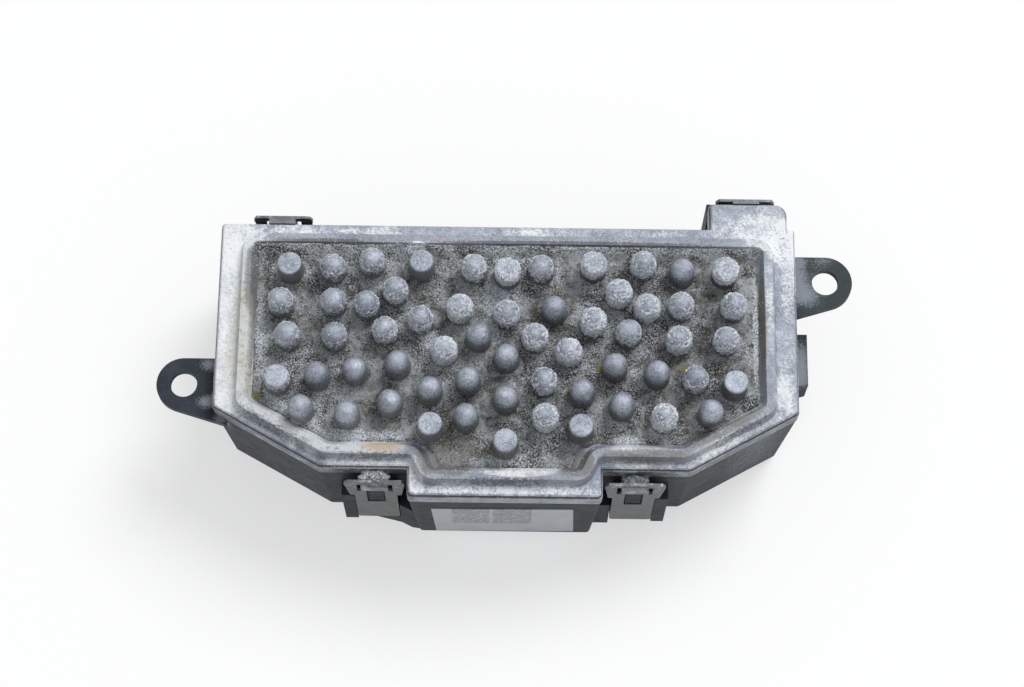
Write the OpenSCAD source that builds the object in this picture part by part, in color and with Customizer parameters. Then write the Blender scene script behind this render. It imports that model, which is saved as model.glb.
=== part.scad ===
// Series regulator for a car's interior blower: a die-cast plate with cooling pins
// on a moulded housing with two screw ears, held together by four spring clips.
// Millimetres. +Z is the pin side, +X the right and +Y the back. The origin lies
// midway between the two ear holes, on the seating face of the ears.

/* [Heatsink plate] */
// Width of the plate
plate_width = 108.4; // [102:0.2:114]
// Depth of the plate, back edge to front edge beside the bay
plate_depth = 47.8; // [45:0.2:52]
// Distance from the middle of the ear holes to the back edge
plate_back = 20; // [18:0.5:22]
// Thickness of the plate
plate_thick = 4; // [3:0.5:6]
// Width of each cut front corner
corner_cut_width = 20.2; // [16:0.2:24]
// Depth of each cut front corner
corner_cut_depth = 11.2; // [8:0.2:14]
// Width of the bay that stands out at the front
bay_width = 35.8; // [32:0.2:40]
// How far the bay stands out
bay_depth = 5.4; // [4:0.2:7]
// Width of the tab at the back
tab_width = 14.8; // [13:0.2:18]
// How far the tab stands out
tab_depth = 5.2; // [4:0.2:7]
// Distance from the right edge of the plate to the tab
tab_inset = 1.4; // [1:0.1:3]
// Bevel along the top edge of the plate
plate_bevel = 0.3; // [0.2:0.1:0.5]
// How far the plate steps back round its top edge
step_depth = 0.3; // [0.2:0.1:0.4]
// Height of that step
step_height = 1; // [0.6:0.1:1.4]

/* [Raised lip] */
// Height of the lip above the plate
lip_height = 2; // [1:0.1:3]
// Width of the lip's flat top
lip_top = 1.6; // [1.2:0.1:2.4]
// Slope of the lip's outer side, measured level
lip_outer_run = 0.6; // [0.3:0.1:1]
// Slope of the lip's inner side, measured level
lip_inner_run = 1.2; // [0.5:0.1:1.6]
// Bare strip between the lip and the side edges
lip_side_margin = 4; // [3:0.1:5]
// Bare strip between the lip and the back edge
lip_back_margin = 2.3; // [1.5:0.1:3]
// Bare strip along the cut corners
lip_cut_margin = 1.6; // [1:0.1:2.5]
// Bare strip along the front edge
lip_front_margin = 1.4; // [1:0.1:2.5]
// Bare strip at the sides of the bay
lip_bay_side_margin = 2.6; // [2.4:0.1:3.5]
// How far the lip leans out where the bay begins
lip_neck_lean = 2.2; // [0:0.1:2.2]
// Bare strip at the front of the bay
lip_bay_front_margin = 2.2; // [1.5:0.1:3]
// Corner radius of the lip at its outer foot
lip_radius = 3.6; // [2:0.1:4.5]

/* [Cooling pins] */
// Height of a pin above the plate
pin_height = 6.6; // [4:0.2:14]
// How much lower the pins are that an ejector has flattened
pin_flat_drop = 0.6; // [0:0.1:1.5]
// Diameter of a pin at its foot
pin_base = 5; // [4:0.1:6]
// Diameter of a pin below its rounded end
pin_tip = 4.5; // [3:0.1:5]
// Height of the rounded end
pin_dome = 2; // [1:0.1:2.2]
// Edge radius of the flattened pins
pin_flat_edge = 0.35; // [0.1:0.05:0.6]

/* [Screw ears] */
// Distance between the ear holes, left to right
ear_span = 120.4; // [116:0.2:128]
// Distance between the ear holes, front to back
ear_offset = 21.8; // [16:0.2:26]
// Diameter of an ear hole
ear_hole = 5; // [4:0.1:6]
// Outer radius of an ear
ear_radius = 5.1; // [4.5:0.1:7]
// Thickness of an ear
ear_thick = 1.6; // [1.4:0.1:4]
// Distance from an ear hole to the front end of the ear's root
ear_root_drop = 7.2; // [6:0.2:9]

/* [Housing] */
// Depth of the housing below the seating face of the ears
housing_depth = 25.5; // [24:0.5:34]
// Thickness of the side walls
wall = 2.2; // [1.8:0.1:2.6]
// Thickness of the floor
floor_thick = 2; // [1.5:0.1:3]
// Distance from the plate's edge to the top of the walls
rim_inset = 0.1; // [0.1:0.1:0.8]
// How much the walls lean in from top to bottom
draft_run = 1.3; // [0.3:0.1:1.6]
// Gap between the housing's rim and the plate, filled by the seal
seal_gap = 0.4; // [0.2:0.1:0.8]
// Width of the seal
seal_width = 1; // [0.8:0.1:1.2]
// Depth of the groove for the seal
seal_groove = 0.6; // [0.4:0.1:1]
// Width of the catch block on the right wall
catch_width = 10.2; // [7:0.2:12]
// Distance of the catch block's middle from the ear holes' middle, towards the front
catch_shift = 2.6; // [0:0.2:5]
// How far the catch block reaches past the plate's edge
catch_reach = 3; // [2:0.1:4]
// Height of the catch block
catch_height = 11; // [8:0.5:14]
// Distance from the seating face down to the catch block
catch_top = 6; // [4:0.5:9]

/* [Spring clips] */
// Thickness of the spring sheet
clip_sheet = 0.5; // [0.4:0.1:0.8]
// Width across the wings
clip_wing = 11.2; // [10:0.1:12]
// Height of the wings
clip_wing_height = 8.5; // [7:0.5:10]
// Width of the stem
clip_stem = 7.9; // [7:0.1:9]
// Overall height of a clip
clip_height = 23.6; // [22:0.2:26]
// Distance from the plate's top face down to the clip's top edge
clip_top_drop = 1.6; // [1:0.1:2.4]
// Width of the upper slot
slot_width = 6.6; // [6.2:0.1:7.2]
// Height of the upper slot
slot_height = 4.2; // [3.8:0.1:5]
// Height of the bar above the slot
clip_bar = 1.6; // [1.2:0.1:2]
// Width of the window below the slot
window_width = 3.4; // [3:0.1:4]
// Height of the window
window_height = 7.2; // [6:0.1:8]
// Distance from the side of the bay to the middle of a front clip
front_clip_offset = 6.1; // [5.9:0.1:7]
// Distance of the left back clip from the middle
back_clip_x = 42.8; // [38:0.2:44]
// Distance of the tab's clip from the middle
tab_clip_x = 45.1; // [44:0.1:46]
// Gap between the plate's front edge and a front clip
front_clip_gap = 2; // [1.5:0.1:2.5]
// Gap between the plate's back edge and the left back clip
back_clip_gap = 1.5; // [1.3:0.1:2.5]
// Gap between the tab and its clip
tab_clip_gap = 0.9; // [0.8:0.1:2]
// Width of a snap nose
nose_width = 5; // [4:0.1:5.6]
// How far a nose stands out through its clip
nose_reach = 0.4; // [0.2:0.1:0.8]

/* [Plug sockets] */
// Width of the supply socket
supply_width = 18; // [16:0.5:18.5]
// Width of the motor socket
motor_width = 24; // [23:0.5:26]
// Front-to-back size of both sockets
socket_size = 11; // [10:0.5:12]
// Depth of both sockets
socket_depth = 11.5; // [9:0.5:12]
// Wall round a socket inside the housing
socket_wall = 1.6; // [1.2:0.1:2]
// Width of a supply blade
supply_blade = 6.3; // [4.8:0.1:6.8]
// Width of a motor blade
motor_blade = 4.8; // [3:0.1:5.4]
// Thickness of the blades
blade_thick = 0.8; // [0.6:0.1:1]
// Width of a signal pin
signal_width = 1.2; // [0.6:0.1:1.5]

/* [Circuit board] */
// Thickness of the board
board_thick = 1.6; // [1:0.1:2]
// Distance from the seating face down to the board
board_drop = 9.4; // [9:0.1:10]
// Diameter of the capacitor cans
can_diameter = 10; // [8:0.5:10.5]
// Length of the capacitor cans
can_length = 20; // [12:0.5:22]
// Diameter of the choke
choke_diameter = 15; // [12:0.5:15.5]
// Height of the choke
choke_height = 11; // [8:0.5:11.5]

/* [Label] */
// Width of the label on the front wall
label_width = 26.4; // [20:0.2:30]
// Height of the label
label_height = 19.2; // [16:0.2:20]

/* [Hidden] */
$fn = 48;

// Each row: distance from the middle, distance from the back edge, 1 for a flat end.
// Every row stands for one pin on each side.
pin_pairs = [
    [40.5, 10.4, 1], [32.5, 10.4, 0], [25.25, 9.1, 0], [16, 9.6, 1], [6.25, 10.1, 0],
    [42, 17.1, 0], [32.25, 17.1, 0], [26, 17.6, 0], [20.75, 14.8, 0], [8.75, 18.1, 0],
    [16, 20.4, 0], [40.5, 23.8, 0], [31.75, 23.8, 0], [22.5, 22.6, 0], [5.25, 23.6, 0],
    [11.5, 26.4, 0], [27.75, 30.4, 0], [20, 29.1, 0], [34.75, 31.4, 0], [7, 32.1, 0],
    [42, 32.4, 1], [14, 34.1, 0], [21.25, 36.6, 0], [29, 38.8, 0], [37.5, 37.8, 0],
    [7.25, 39.1, 0], [13.75, 41.1, 1]];
// Pins on the centre line: distance from the back edge, 1 for a flat end
pin_middle = [[11.1, 1], [19.1, 0], [27.6, 0], [35.6, 0], [44.1, 1]];

arc_steps = 4;
sink = 0.5;
half_width = plate_width / 2;
plate_front = plate_back - plate_depth;
bay_front = plate_front - bay_depth;
tab_right = half_width - tab_inset;
tab_left = tab_right - tab_width;
tab_back = plate_back + tab_depth;
front_clip_x = bay_width / 2 + front_clip_offset;
plate_top = seal_gap + plate_thick;
step_slope = 0.2;
base_z = -housing_depth;
floor_z = base_z + floor_thick;

sharp = 0.4;
edge_radius = 0.8;
tab_radius = 2.2;
fit_gap = 0.1;

// Outline of the plate without its tab, counter-clockwise from the back left corner
body_outline = [
    [-half_width, plate_back], [-half_width, plate_front + corner_cut_depth],
    [-half_width + corner_cut_width, plate_front], [-bay_width / 2, plate_front],
    [-bay_width / 2, bay_front], [bay_width / 2, bay_front], [bay_width / 2, plate_front],
    [half_width - corner_cut_width, plate_front],
    [half_width, plate_front + corner_cut_depth], [half_width, plate_back]];
plate_outline = concat(body_outline, [
    [tab_right, plate_back], [tab_right, tab_back],
    [tab_left, tab_back], [tab_left, plate_back]]);
blunt_radius = 1.5;
body_radii = [edge_radius, edge_radius, blunt_radius, sharp, edge_radius, edge_radius, sharp,
    blunt_radius, edge_radius, sharp];
plate_radii = concat(body_radii, [sharp, tab_radius, edge_radius, sharp]);
// The same shape as three convex fields; bay and tab reach into the main one
field_overlap = 8;
main_field = [
    [-half_width, plate_back], [-half_width, plate_front + corner_cut_depth],
    [-half_width + corner_cut_width, plate_front], [half_width - corner_cut_width, plate_front],
    [half_width, plate_front + corner_cut_depth], [half_width, plate_back]];
main_radii = [edge_radius, edge_radius, blunt_radius, blunt_radius, edge_radius, sharp];
bay_field = [
    [-bay_width / 2, plate_front + field_overlap], [-bay_width / 2, bay_front],
    [bay_width / 2, bay_front], [bay_width / 2, plate_front + field_overlap]];
bay_radii = [sharp, edge_radius, edge_radius, sharp];
tab_field = [
    [tab_right, plate_back - field_overlap], [tab_right, tab_back],
    [tab_left, tab_back], [tab_left, plate_back - field_overlap]];
tab_radii = [sharp, tab_radius, edge_radius, sharp];
lip_margins = [lip_side_margin, lip_cut_margin, lip_front_margin, lip_bay_side_margin,
    lip_bay_front_margin, lip_bay_side_margin, lip_front_margin, lip_cut_margin,
    lip_side_margin, lip_back_margin];
lip_width = lip_outer_run + lip_top + lip_inner_run;
lip_neck_radius = 0.6;

board_top = -board_drop;
board_under = board_top - board_thick;
board_inset = 4;
boss_side_gap = 9;
boss_back_gap = 7.5;
boss_front_gap = 11;
boss_front_x = 38;
boss_back = [half_width - boss_side_gap, plate_back - boss_back_gap];
boss_front = [boss_front_x, plate_front + boss_front_gap];
boss_diameter = 6;
board_screw = 2.9;
screw_head = 5.5;
screw_head_height = 2;
screw_length = 8;
screw_spots = [boss_back, [-boss_back[0], boss_back[1]], boss_front, [-boss_front[0], boss_front[1]]];

land_height = 0.8;
land_z = seal_gap - land_height;
pad_thick = 0.2;
transistor_x = 15;
transistor_y = 4.5;
transistor_size = [15.9, 20.8, 5];
transistor_hole = 3.6;
transistor_under = land_z - pad_thick - transistor_size[2];
clamp_size = [44, 8, 0.8];
clamp_boss = 7;
clamp_screw_d = 4;
clamp_head = 7;
clamp_head_height = 2;
clamp_screw_length = 7;
lead_width = 1.2;
lead_thick = 0.6;
lead_pitch = 5.4;
lead_reach = 3;
lead_past_board = 0.6;
lead_round = 0.8;

spigot_gap = 0.3;
spigot_wall = 1.2;
spigot_depth = 2.5;

// Unit vector along v
function unit(v) = v / norm(v);
// Angle brought into the range from -180 to 180
function wrap(angle) = angle > 180 ? angle - 360 : angle < -180 ? angle + 360 : angle;
// Inward normal of the edge from p to q on a counter-clockwise outline
function inward(p, q) = let (d = unit(q - p)) [-d[1], d[0]];
// Point where the lines x*n = a and x*m = b cross
function cross_point(n, a, m, b) =
    let (det = n[0] * m[1] - n[1] * m[0])
    [(a * m[1] - b * n[1]) / det, (n[0] * b - m[0] * a) / det];
// Outline with edge i moved inwards by gaps[i]
function inset(outline, gaps) =
    let (n = len(outline))
    [for (i = [0:n - 1])
        let (p = outline[i], before = outline[(i + n - 1) % n], after = outline[(i + 1) % n],
            first = inward(before, p), second = inward(p, after))
        cross_point(first, p * first + gaps[(i + n - 1) % n], second, p * second + gaps[i])];
// Outline with every edge moved inwards by the same gap
function inset_all(outline, gap) = inset(outline, [for (p = outline) gap]);
// Arc of radius r that rounds the corner at p between a and c
function corner_arc(a, p, c, r) =
    let (u = unit(a - p), w = unit(c - p), half = acos(u * w) / 2,
        centre = p + unit(u + w) * r / sin(half),
        start = p + u * r / tan(half) - centre,
        finish = p + w * r / tan(half) - centre,
        from = atan2(start[1], start[0]),
        turn = wrap(atan2(finish[1], finish[0]) - from))
    [for (i = [0:arc_steps])
        centre + r * [cos(from + turn * i / arc_steps), sin(from + turn * i / arc_steps)]];
// Outline with each corner rounded by its own radius
function rounded(outline, radii) =
    let (n = len(outline))
    [for (i = [0:n - 1])
        each corner_arc(outline[(i + n - 1) % n], outline[i], outline[(i + 1) % n], radii[i])];
// Outline lifted to the height z
function at_height(outline, z) = [for (p = outline) [p[0], p[1], z]];
// True where p lies inside the outline
function inside(p, outline) =
    let (n = len(outline))
    len([for (i = [0:n - 1])
        let (a = outline[i], b = outline[(i + 1) % n])
        if ((a[1] > p[1]) != (b[1] > p[1])
            && p[0] < (b[0] - a[0]) * (p[1] - a[1]) / (b[1] - a[1]) + a[0]) 1]) % 2 == 1;
// Two triangles that close the strip between neighbouring rings, for each step round them
function strip(n, lower, upper) =
    [for (i = [0:n - 1])
        let (j = (i + 1) % n)
        each [[lower + i, upper + i, upper + j], [lower + i, upper + j, lower + j]]];

// Solid between levels, each given as [inset of the outline, height], lowest first
module loft(outline, radii, gaps, levels) {
    rings = [for (level = levels) at_height(rounded(inset(outline, level[0] * gaps), radii), level[1])];
    n = len(rings[0]);
    top = (len(rings) - 1) * n;
    polyhedron(
        points = [for (ring = rings) each ring],
        faces = concat(
            [[for (i = [0:n - 1]) i]],
            [for (k = [0:len(rings) - 2]) each strip(n, k * n, (k + 1) * n)],
            [[for (i = [n - 1:-1:0]) top + i]]));
}

// The plate's whole shape between levels, made up of its three convex fields
module plate_loft(levels) {
    loft(main_field, main_radii, [1, 1, 1, 1, 1, 1], levels);
    loft(bay_field, bay_radii, [1, 1, 1, 0], levels);
    loft(tab_field, tab_radii, [1, 1, 1, 0], levels);
}

// Closed moulding through rings that run up the outside and down the inside
module ring_loft(rings) {
    n = len(rings[0]);
    count = len(rings);
    polyhedron(
        points = [for (ring = rings) each ring],
        faces = [for (k = [0:count - 1]) each strip(n, k * n, ((k + 1) % count) * n)]);
}

// Wall of constant section between two insets of an outline
module band(outline, radii, outer, inner, low, high) {
    translate([0, 0, low])
        linear_extrude(high - low)
            difference() {
                polygon(rounded(inset_all(outline, outer), radii));
                polygon(rounded(inset_all(outline, inner), radii));
            }
}

// Box with its middle at x and y, from z low to high
module post(x, y, size_x, size_y, low, high) {
    translate([x - size_x / 2, y - size_y / 2, low])
        cube([size_x, size_y, high - low]);
}

// Wire that leaves along d, then turns up into the board at the point spot
module bent_wire(from, spot, diameter) {
    run = spot - from;
    translate([from[0], from[1], from[2]])
        rotate([0, 90, atan2(run[1], run[0])])
            cylinder(h = norm([run[0], run[1]]), d = diameter, $fn = 16);
    translate([spot[0], spot[1], from[2]])
        sphere(d = diameter, $fn = 16);
    translate([spot[0], spot[1], from[2]])
        cylinder(h = board_top + lead_past_board - from[2], d = diameter, $fn = 16);
}

// Frame of a clip: x along the plate's edge, y outwards from it
module at_front_left() { translate([-front_clip_x, plate_front, 0]) rotate(180) children(); }
module at_front_right() { translate([front_clip_x, plate_front, 0]) rotate(180) children(); }
module at_back_left() { translate([-back_clip_x, plate_back, 0]) children(); }
module at_back_right() { translate([tab_clip_x, tab_back, 0]) children(); }

lip_base = inset(body_outline, lip_margins);
lip_foot = [for (i = [0:9]) lip_base[i] + [i == 3 ? -lip_neck_lean : i == 6 ? lip_neck_lean : 0, 0]];
lip_inner_foot = inset_all(lip_foot, lip_width);

clip_top_z = plate_top - clip_top_drop;
slot_top_z = clip_top_z - clip_bar;
slot_low_z = slot_top_z - slot_height;
window_low_z = slot_low_z - window_height;
wing_low_z = clip_top_z - clip_wing_height;
rail_foot = 2.7;
rail_low = base_z + rail_foot;
rail_inner = clip_stem / 2 + 0.15;
rail_outer = clip_wing / 2 + 0.9;
nose_slack = 0.05;
nose_tip_height = 3.6;
nose_radius = 0.8;

// Cooling pin, standing on the plate
module pin(flat) {
    dome_steps = 5;
    base_r = pin_base / 2;
    tip_r = pin_tip / 2;
    height = pin_height - flat * pin_flat_drop;
    dome = flat == 1 ? pin_flat_edge : pin_dome;
    cap_r = flat == 1 ? pin_flat_edge : tip_r;
    rotate_extrude()
        polygon(concat(
            [[0, -sink], [base_r, -sink], [base_r, 0]],
            [for (i = [0:dome_steps])
                let (a = 90 * i / dome_steps)
                [tip_r - cap_r + cap_r * cos(a), height - dome + dome * sin(a)]],
            flat == 1 ? [[0, height]] : []));
}

// All pins whose foot lies within the lip
module pin_field() {
    for (row = pin_pairs)
        for (side = [-1, 1])
            let (spot = [side * row[0], plate_back - row[1]])
            if (inside(spot, lip_inner_foot))
                translate([spot[0], spot[1], plate_top]) pin(row[2]);
    for (row = pin_middle)
        let (spot = [0, plate_back - row[0]])
        if (inside(spot, lip_inner_foot))
            translate([spot[0], spot[1], plate_top]) pin(row[1]);
}

// Outline of the lip, moved in by gap, with corners that stay concentric
function lip_line(gap) =
    rounded(inset_all(lip_foot, gap), [for (i = [0:9])
        (i == 3 || i == 6) ? lip_neck_radius + gap : max(lip_radius - gap, lip_neck_radius)]);

// Raised lip round the pins, with sloping sides
module lip() {
    outer_foot = lip_line(0);
    outer_top = lip_line(lip_outer_run);
    inner_top = lip_line(lip_outer_run + lip_top);
    inner_foot = lip_line(lip_width);
    ring_loft([
        at_height(outer_foot, plate_top - sink), at_height(outer_foot, plate_top),
        at_height(outer_top, plate_top + lip_height), at_height(inner_top, plate_top + lip_height),
        at_height(inner_foot, plate_top), at_height(inner_foot, plate_top - sink)]);
}

// Nose on the plate's edge that the clip's bar hooks over
module snap_nose(gap, top) {
    reach = gap - fit_gap;
    low = slot_top_z - nose_tip_height;
    tip = gap + clip_sheet + nose_reach;
    hook = slot_top_z - nose_slack;
    root = -rim_inset / 2;
    side = nose_width / 2;
    translate([0, 0, low])
        linear_extrude(top - low)
            polygon(concat([[-side, root], [side, root]],
                corner_arc([side, root], [side, reach], [-side, reach], nose_radius),
                corner_arc([side, reach], [-side, reach], [-side, root], nose_radius)));
    translate([-nose_width / 2, 0, 0])
        rotate([90, 0, 90])
            linear_extrude(nose_width)
                polygon([[root, low], [reach, low], [tip, low + nose_reach + clip_sheet],
                    [tip, hook - nose_reach], [tip - nose_reach, hook], [root, hook]]);
}

// Casting: plate, lip, pins and noses, with ribs and bosses on the hidden side
module heatsink() {
    color("silver")
    difference() {
        union() {
            plate_loft([[0, seal_gap], [0, plate_top - step_height],
                [step_depth, plate_top - step_height + step_slope],
                [step_depth, plate_top - plate_bevel], [step_depth + plate_bevel, plate_top]]);
            lip();
            pin_field();
            at_front_left() snap_nose(front_clip_gap, slot_top_z - nose_slack);
            at_front_right() snap_nose(front_clip_gap, slot_top_z - nose_slack);
            at_back_left() snap_nose(back_clip_gap, plate_top - plate_bevel);
            at_back_right() snap_nose(tab_clip_gap, plate_top - plate_bevel);
            band(plate_outline, plate_radii, rim_inset + wall + spigot_gap,
                rim_inset + wall + spigot_gap + spigot_wall, seal_gap - spigot_depth, seal_gap + sink);
            for (spot = screw_spots)
                translate([spot[0], spot[1], board_top])
                    cylinder(h = seal_gap + sink - board_top, d = boss_diameter);
            translate([0, transistor_y, transistor_under + fit_gap])
                cylinder(h = seal_gap + sink - transistor_under - fit_gap, d = clamp_boss);
            for (side = [-1, 1])
                post(side * transistor_x, transistor_y, transistor_size[0] + 2, transistor_size[1] + 2,
                    land_z, seal_gap + sink);
        }
        for (spot = screw_spots)
            translate([spot[0], spot[1], board_top - sink])
                cylinder(h = screw_length - board_thick + 2 * sink, d = board_screw + fit_gap);
        translate([0, transistor_y, transistor_under - sink])
            cylinder(h = clamp_screw_length + sink, d = clamp_screw_d + fit_gap);
    }
}

// Ear with its hole at the origin; the wall's face lies at x = -face
module ear_outline(face) {
    foot = [-face, -ear_root_drop];
    root = face + wall;
    slope = atan2(-foot[1], -foot[0]) - asin(ear_radius / norm(foot));
    touch = foot + sqrt(foot * foot - ear_radius * ear_radius) * [cos(slope), sin(slope)];
    circle(r = ear_radius);
    polygon([[0, ear_radius], [-root, ear_radius], foot - wall * [1, tan(slope)], touch, [0, 0]]);
}

// Right ear with a stiffening rib below; the left one is its mirror image
module ear() {
    face = ear_span / 2 - half_width + rim_inset;
    rib_thick = 1.6;
    rib_drop = 6;
    rib_end = ear_hole / 2 + 1.2;
    translate([0, 0, -ear_thick])
        linear_extrude(ear_thick)
            ear_outline(face);
    translate([0, rib_thick / 2, 0])
        rotate([90, 0, 0])
            linear_extrude(rib_thick)
                polygon([[-face - wall, -sink], [-rib_end, -sink], [-rib_end, -ear_thick - sink],
                    [-face - 1, -ear_thick - rib_drop], [-face - wall, -ear_thick - rib_drop]]);
}

// Seat of a clip: a pad behind it, a nub in its window and rails beside its stem
module clip_seat(gap, rails) {
    root = wall + rim_inset;
    pad_top = slot_low_z - 0.8;
    pad_low = clip_top_z - clip_height + 0.8;
    face = gap - fit_gap;
    nub = window_width - 0.5;
    nub_reach = gap + clip_sheet * 0.6;
    nub_top = pad_top - 0.4;
    nub_low = window_low_z + 0.3;
    nub_ramp = 1.2;
    rail_face = gap + clip_sheet - 0.2;
    post(0, (face - root) / 2, clip_stem, face + root, pad_low, pad_top);
    translate([-nub / 2, 0, 0])
        rotate([90, 0, 90])
            linear_extrude(nub)
                polygon([[0, nub_top], [face, nub_top], [nub_reach, nub_low + nub_ramp],
                    [nub_reach, nub_low], [0, nub_low]]);
    for (side = rails)
        post(side * (rail_inner + rail_outer) / 2, (rail_face - root) / 2,
            rail_outer - rail_inner, rail_face + root, rail_low, wing_low_z - 1.2);
}

// Cheek beside the tab's clip, on its left
module clip_cheek(gap) {
    thick = 0.7;
    reach = gap + clip_sheet;
    translate([-rail_outer - thick, -wall, rail_low])
        cube([thick + fit_gap, reach + wall, -rail_low]);
}

// Catch block for the latch of a plug, on the right wall, with a ramp below
module catch_block() {
    root = half_width - rim_inset - draft_run - sink;
    reach = half_width + catch_reach;
    low = -catch_top - catch_height;
    translate([0, catch_width / 2 - catch_shift, 0])
        rotate([90, 0, 0])
            linear_extrude(catch_width)
                polygon([[root, -catch_top], [reach, -catch_top], [reach, low + catch_height * 0.4],
                    [half_width - rim_inset - draft_run / 2, low], [root, low]]);
}

socket_y = -3.6;
socket_gap = 5;
supply_x = half_width - rim_inset - draft_run - wall - supply_width / 2;
motor_x = supply_x - supply_width / 2 - 2 * socket_wall - socket_gap - motor_width / 2;
socket_ceiling = base_z + socket_depth;
ceiling_thick = 1.8;
blade_low = base_z + 1.5;
blade_high = board_top + lead_past_board;
supply_pitch = supply_blade + 2.3;
motor_first_x = motor_x - motor_width / 2 + 1.6 + motor_blade / 2;
motor_pitch = motor_blade + 1.8;
signal_pitch = 2.6;
signal_first_x = motor_first_x + motor_pitch + motor_blade / 2 + 2.2;
signal_thick = 0.6;
supply_spots = [supply_x - supply_pitch / 2, supply_x + supply_pitch / 2];
motor_spots = [motor_first_x, motor_first_x + motor_pitch];
signal_spots = [for (i = [0:2]) signal_first_x + i * signal_pitch];

// Contact blade with a pointed end; slack makes the slot that it passes through
module contact(x, width, thick, slack = 0) {
    point = 1.2;
    translate([x, socket_y + thick / 2 + slack, 0])
        rotate([90, 0, 0])
            linear_extrude(thick + 2 * slack)
                polygon([[-width / 2 - slack, blade_high + slack], [-width / 2 - slack, blade_low + point],
                    [-width / 4, blade_low], [width / 4, blade_low],
                    [width / 2 + slack, blade_low + point], [width / 2 + slack, blade_high + slack]]);
}

// Every contact, for the slots in the socket ceilings and the board
module all_contacts(slack) {
    for (x = supply_spots) contact(x, supply_blade, blade_thick, slack);
    for (x = motor_spots) contact(x, motor_blade, blade_thick, slack);
    for (x = signal_spots) contact(x, signal_width, signal_thick, slack);
}

// Mouth of a socket with two keyways in its back wall
module socket_mouth(x, width) {
    key_width = 1.6;
    key_depth = 1;
    key_end = 3;
    post(x, socket_y, width, socket_size, base_z - 1, socket_ceiling);
    for (side = [-1, 1])
        post(x + side * width / 4, socket_y + socket_size / 2, key_width, 2 * key_depth,
            base_z - 1, socket_ceiling - key_end);
}

// Shroud of a socket, standing on the floor inside the housing
module socket_shroud(x, width) {
    post(x, socket_y, width + 2 * socket_wall, socket_size + 2 * (socket_wall + 0.6),
        base_z + sink, socket_ceiling + ceiling_thick);
}

// Moulding: walls, floor, ears, clip seats, catch block and sockets
module housing() {
    low_inset = rim_inset + draft_run;
    pad_shelf = clip_top_z - clip_height - base_z - 0.4;
    stem_edge = front_clip_x - rail_inner;
    shelf_end = front_clip_x + 1;
    web_front = plate_front - front_clip_gap;
    bay_corner = [-bay_width / 2 + low_inset + 1, bay_front + low_inset + 0.2];
    color([0.16, 0.17, 0.19])
    difference() {
        union() {
            difference() {
                union() {
                    plate_loft([[low_inset, base_z], [rim_inset, 0]]);
                    translate([ear_span / 2, ear_offset / 2, 0]) ear();
                    translate([-ear_span / 2, -ear_offset / 2, 0]) mirror([1, 0, 0]) ear();
                    at_front_left() clip_seat(front_clip_gap, [1]);
                    at_front_right() clip_seat(front_clip_gap, [-1]);
                    at_back_left() clip_seat(back_clip_gap, [-1, 1]);
                    at_back_right() clip_seat(tab_clip_gap, [-1, 1]);
                    at_back_right() clip_cheek(tab_clip_gap);
                    catch_block();
                    translate([0, 0, base_z])
                        linear_extrude(pad_shelf)
                            polygon([[-shelf_end, plate_front + wall], [-shelf_end, web_front + 0.8],
                                [-stem_edge, web_front - 0.4], [-bay_width / 2, web_front - 1.4], bay_corner,
                                [bay_corner[0], plate_front + wall]]);
                    translate([0, 0, base_z])
                        linear_extrude(housing_depth / 2)
                            polygon([[-stem_edge, plate_front + wall], [-stem_edge, web_front - 0.4],
                                [-bay_width / 2, web_front - 1.4], bay_corner,
                                [bay_corner[0], plate_front + wall]]);
                    post(bay_width / 2, plate_front, 2 * (stem_edge - bay_width / 2),
                        2 * front_clip_gap, base_z, base_z + housing_depth / 2);
                }
                plate_loft([[low_inset + wall, floor_z], [rim_inset + wall, sink]]);
            }
            socket_shroud(supply_x, supply_width);
            socket_shroud(motor_x, motor_width);
        }
        socket_mouth(supply_x, supply_width);
        socket_mouth(motor_x, motor_width);
        all_contacts(fit_gap);
        band(plate_outline, plate_radii, rim_inset + (wall - seal_width) / 2,
            rim_inset + (wall + seal_width) / 2, -seal_groove, sink);
        for (side = [-1, 1])
            translate([side * ear_span / 2, side * ear_offset / 2, -ear_thick - sink])
                cylinder(h = ear_thick + 2 * sink, d = ear_hole);
    }
}

// Gasket bead in the groove of the rim
module seal() {
    color([0.35, 0.35, 0.37])
    band(plate_outline, plate_radii, rim_inset + (wall - seal_width) / 2,
        rim_inset + (wall + seal_width) / 2, -seal_groove, seal_gap);
}

// Stamped clip, its inner face at y = gap
module spring_clip(gap) {
    wing = clip_wing / 2;
    stem = clip_stem / 2;
    low = clip_top_z - clip_height;
    cut = 0.6;
    foot = (wing + stem) / 2;
    turn = min(0.4, (wing - stem) / 5);
    color([0.55, 0.56, 0.57])
    translate([0, gap + clip_sheet, 0])
        rotate([90, 0, 0])
            linear_extrude(clip_sheet)
                difference() {
                    polygon(rounded(
                        [[wing - cut, clip_top_z], [-wing + cut, clip_top_z], [-wing, clip_top_z - 2 * cut],
                        [-foot, wing_low_z], [-stem, wing_low_z], [-stem, low],
                        [stem, low], [stem, wing_low_z], [foot, wing_low_z], [wing, clip_top_z - 2 * cut]],
                        [0.3, 0.3, 0.3, turn, turn, 0.6, 0.6, turn, turn, 0.3]));
                    polygon([[-slot_width / 2, slot_top_z], [-slot_width / 2, slot_low_z],
                        [-window_width / 2, slot_low_z], [-window_width / 2, window_low_z],
                        [window_width / 2, window_low_z], [window_width / 2, slot_low_z],
                        [slot_width / 2, slot_low_z], [slot_width / 2, slot_top_z]]);
                }
}

module clip_front_left() { at_front_left() spring_clip(front_clip_gap); }
module clip_front_right() { at_front_right() spring_clip(front_clip_gap); }
module clip_back_left() { at_back_left() spring_clip(back_clip_gap); }
module clip_back_right() { at_back_right() spring_clip(tab_clip_gap); }

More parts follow.
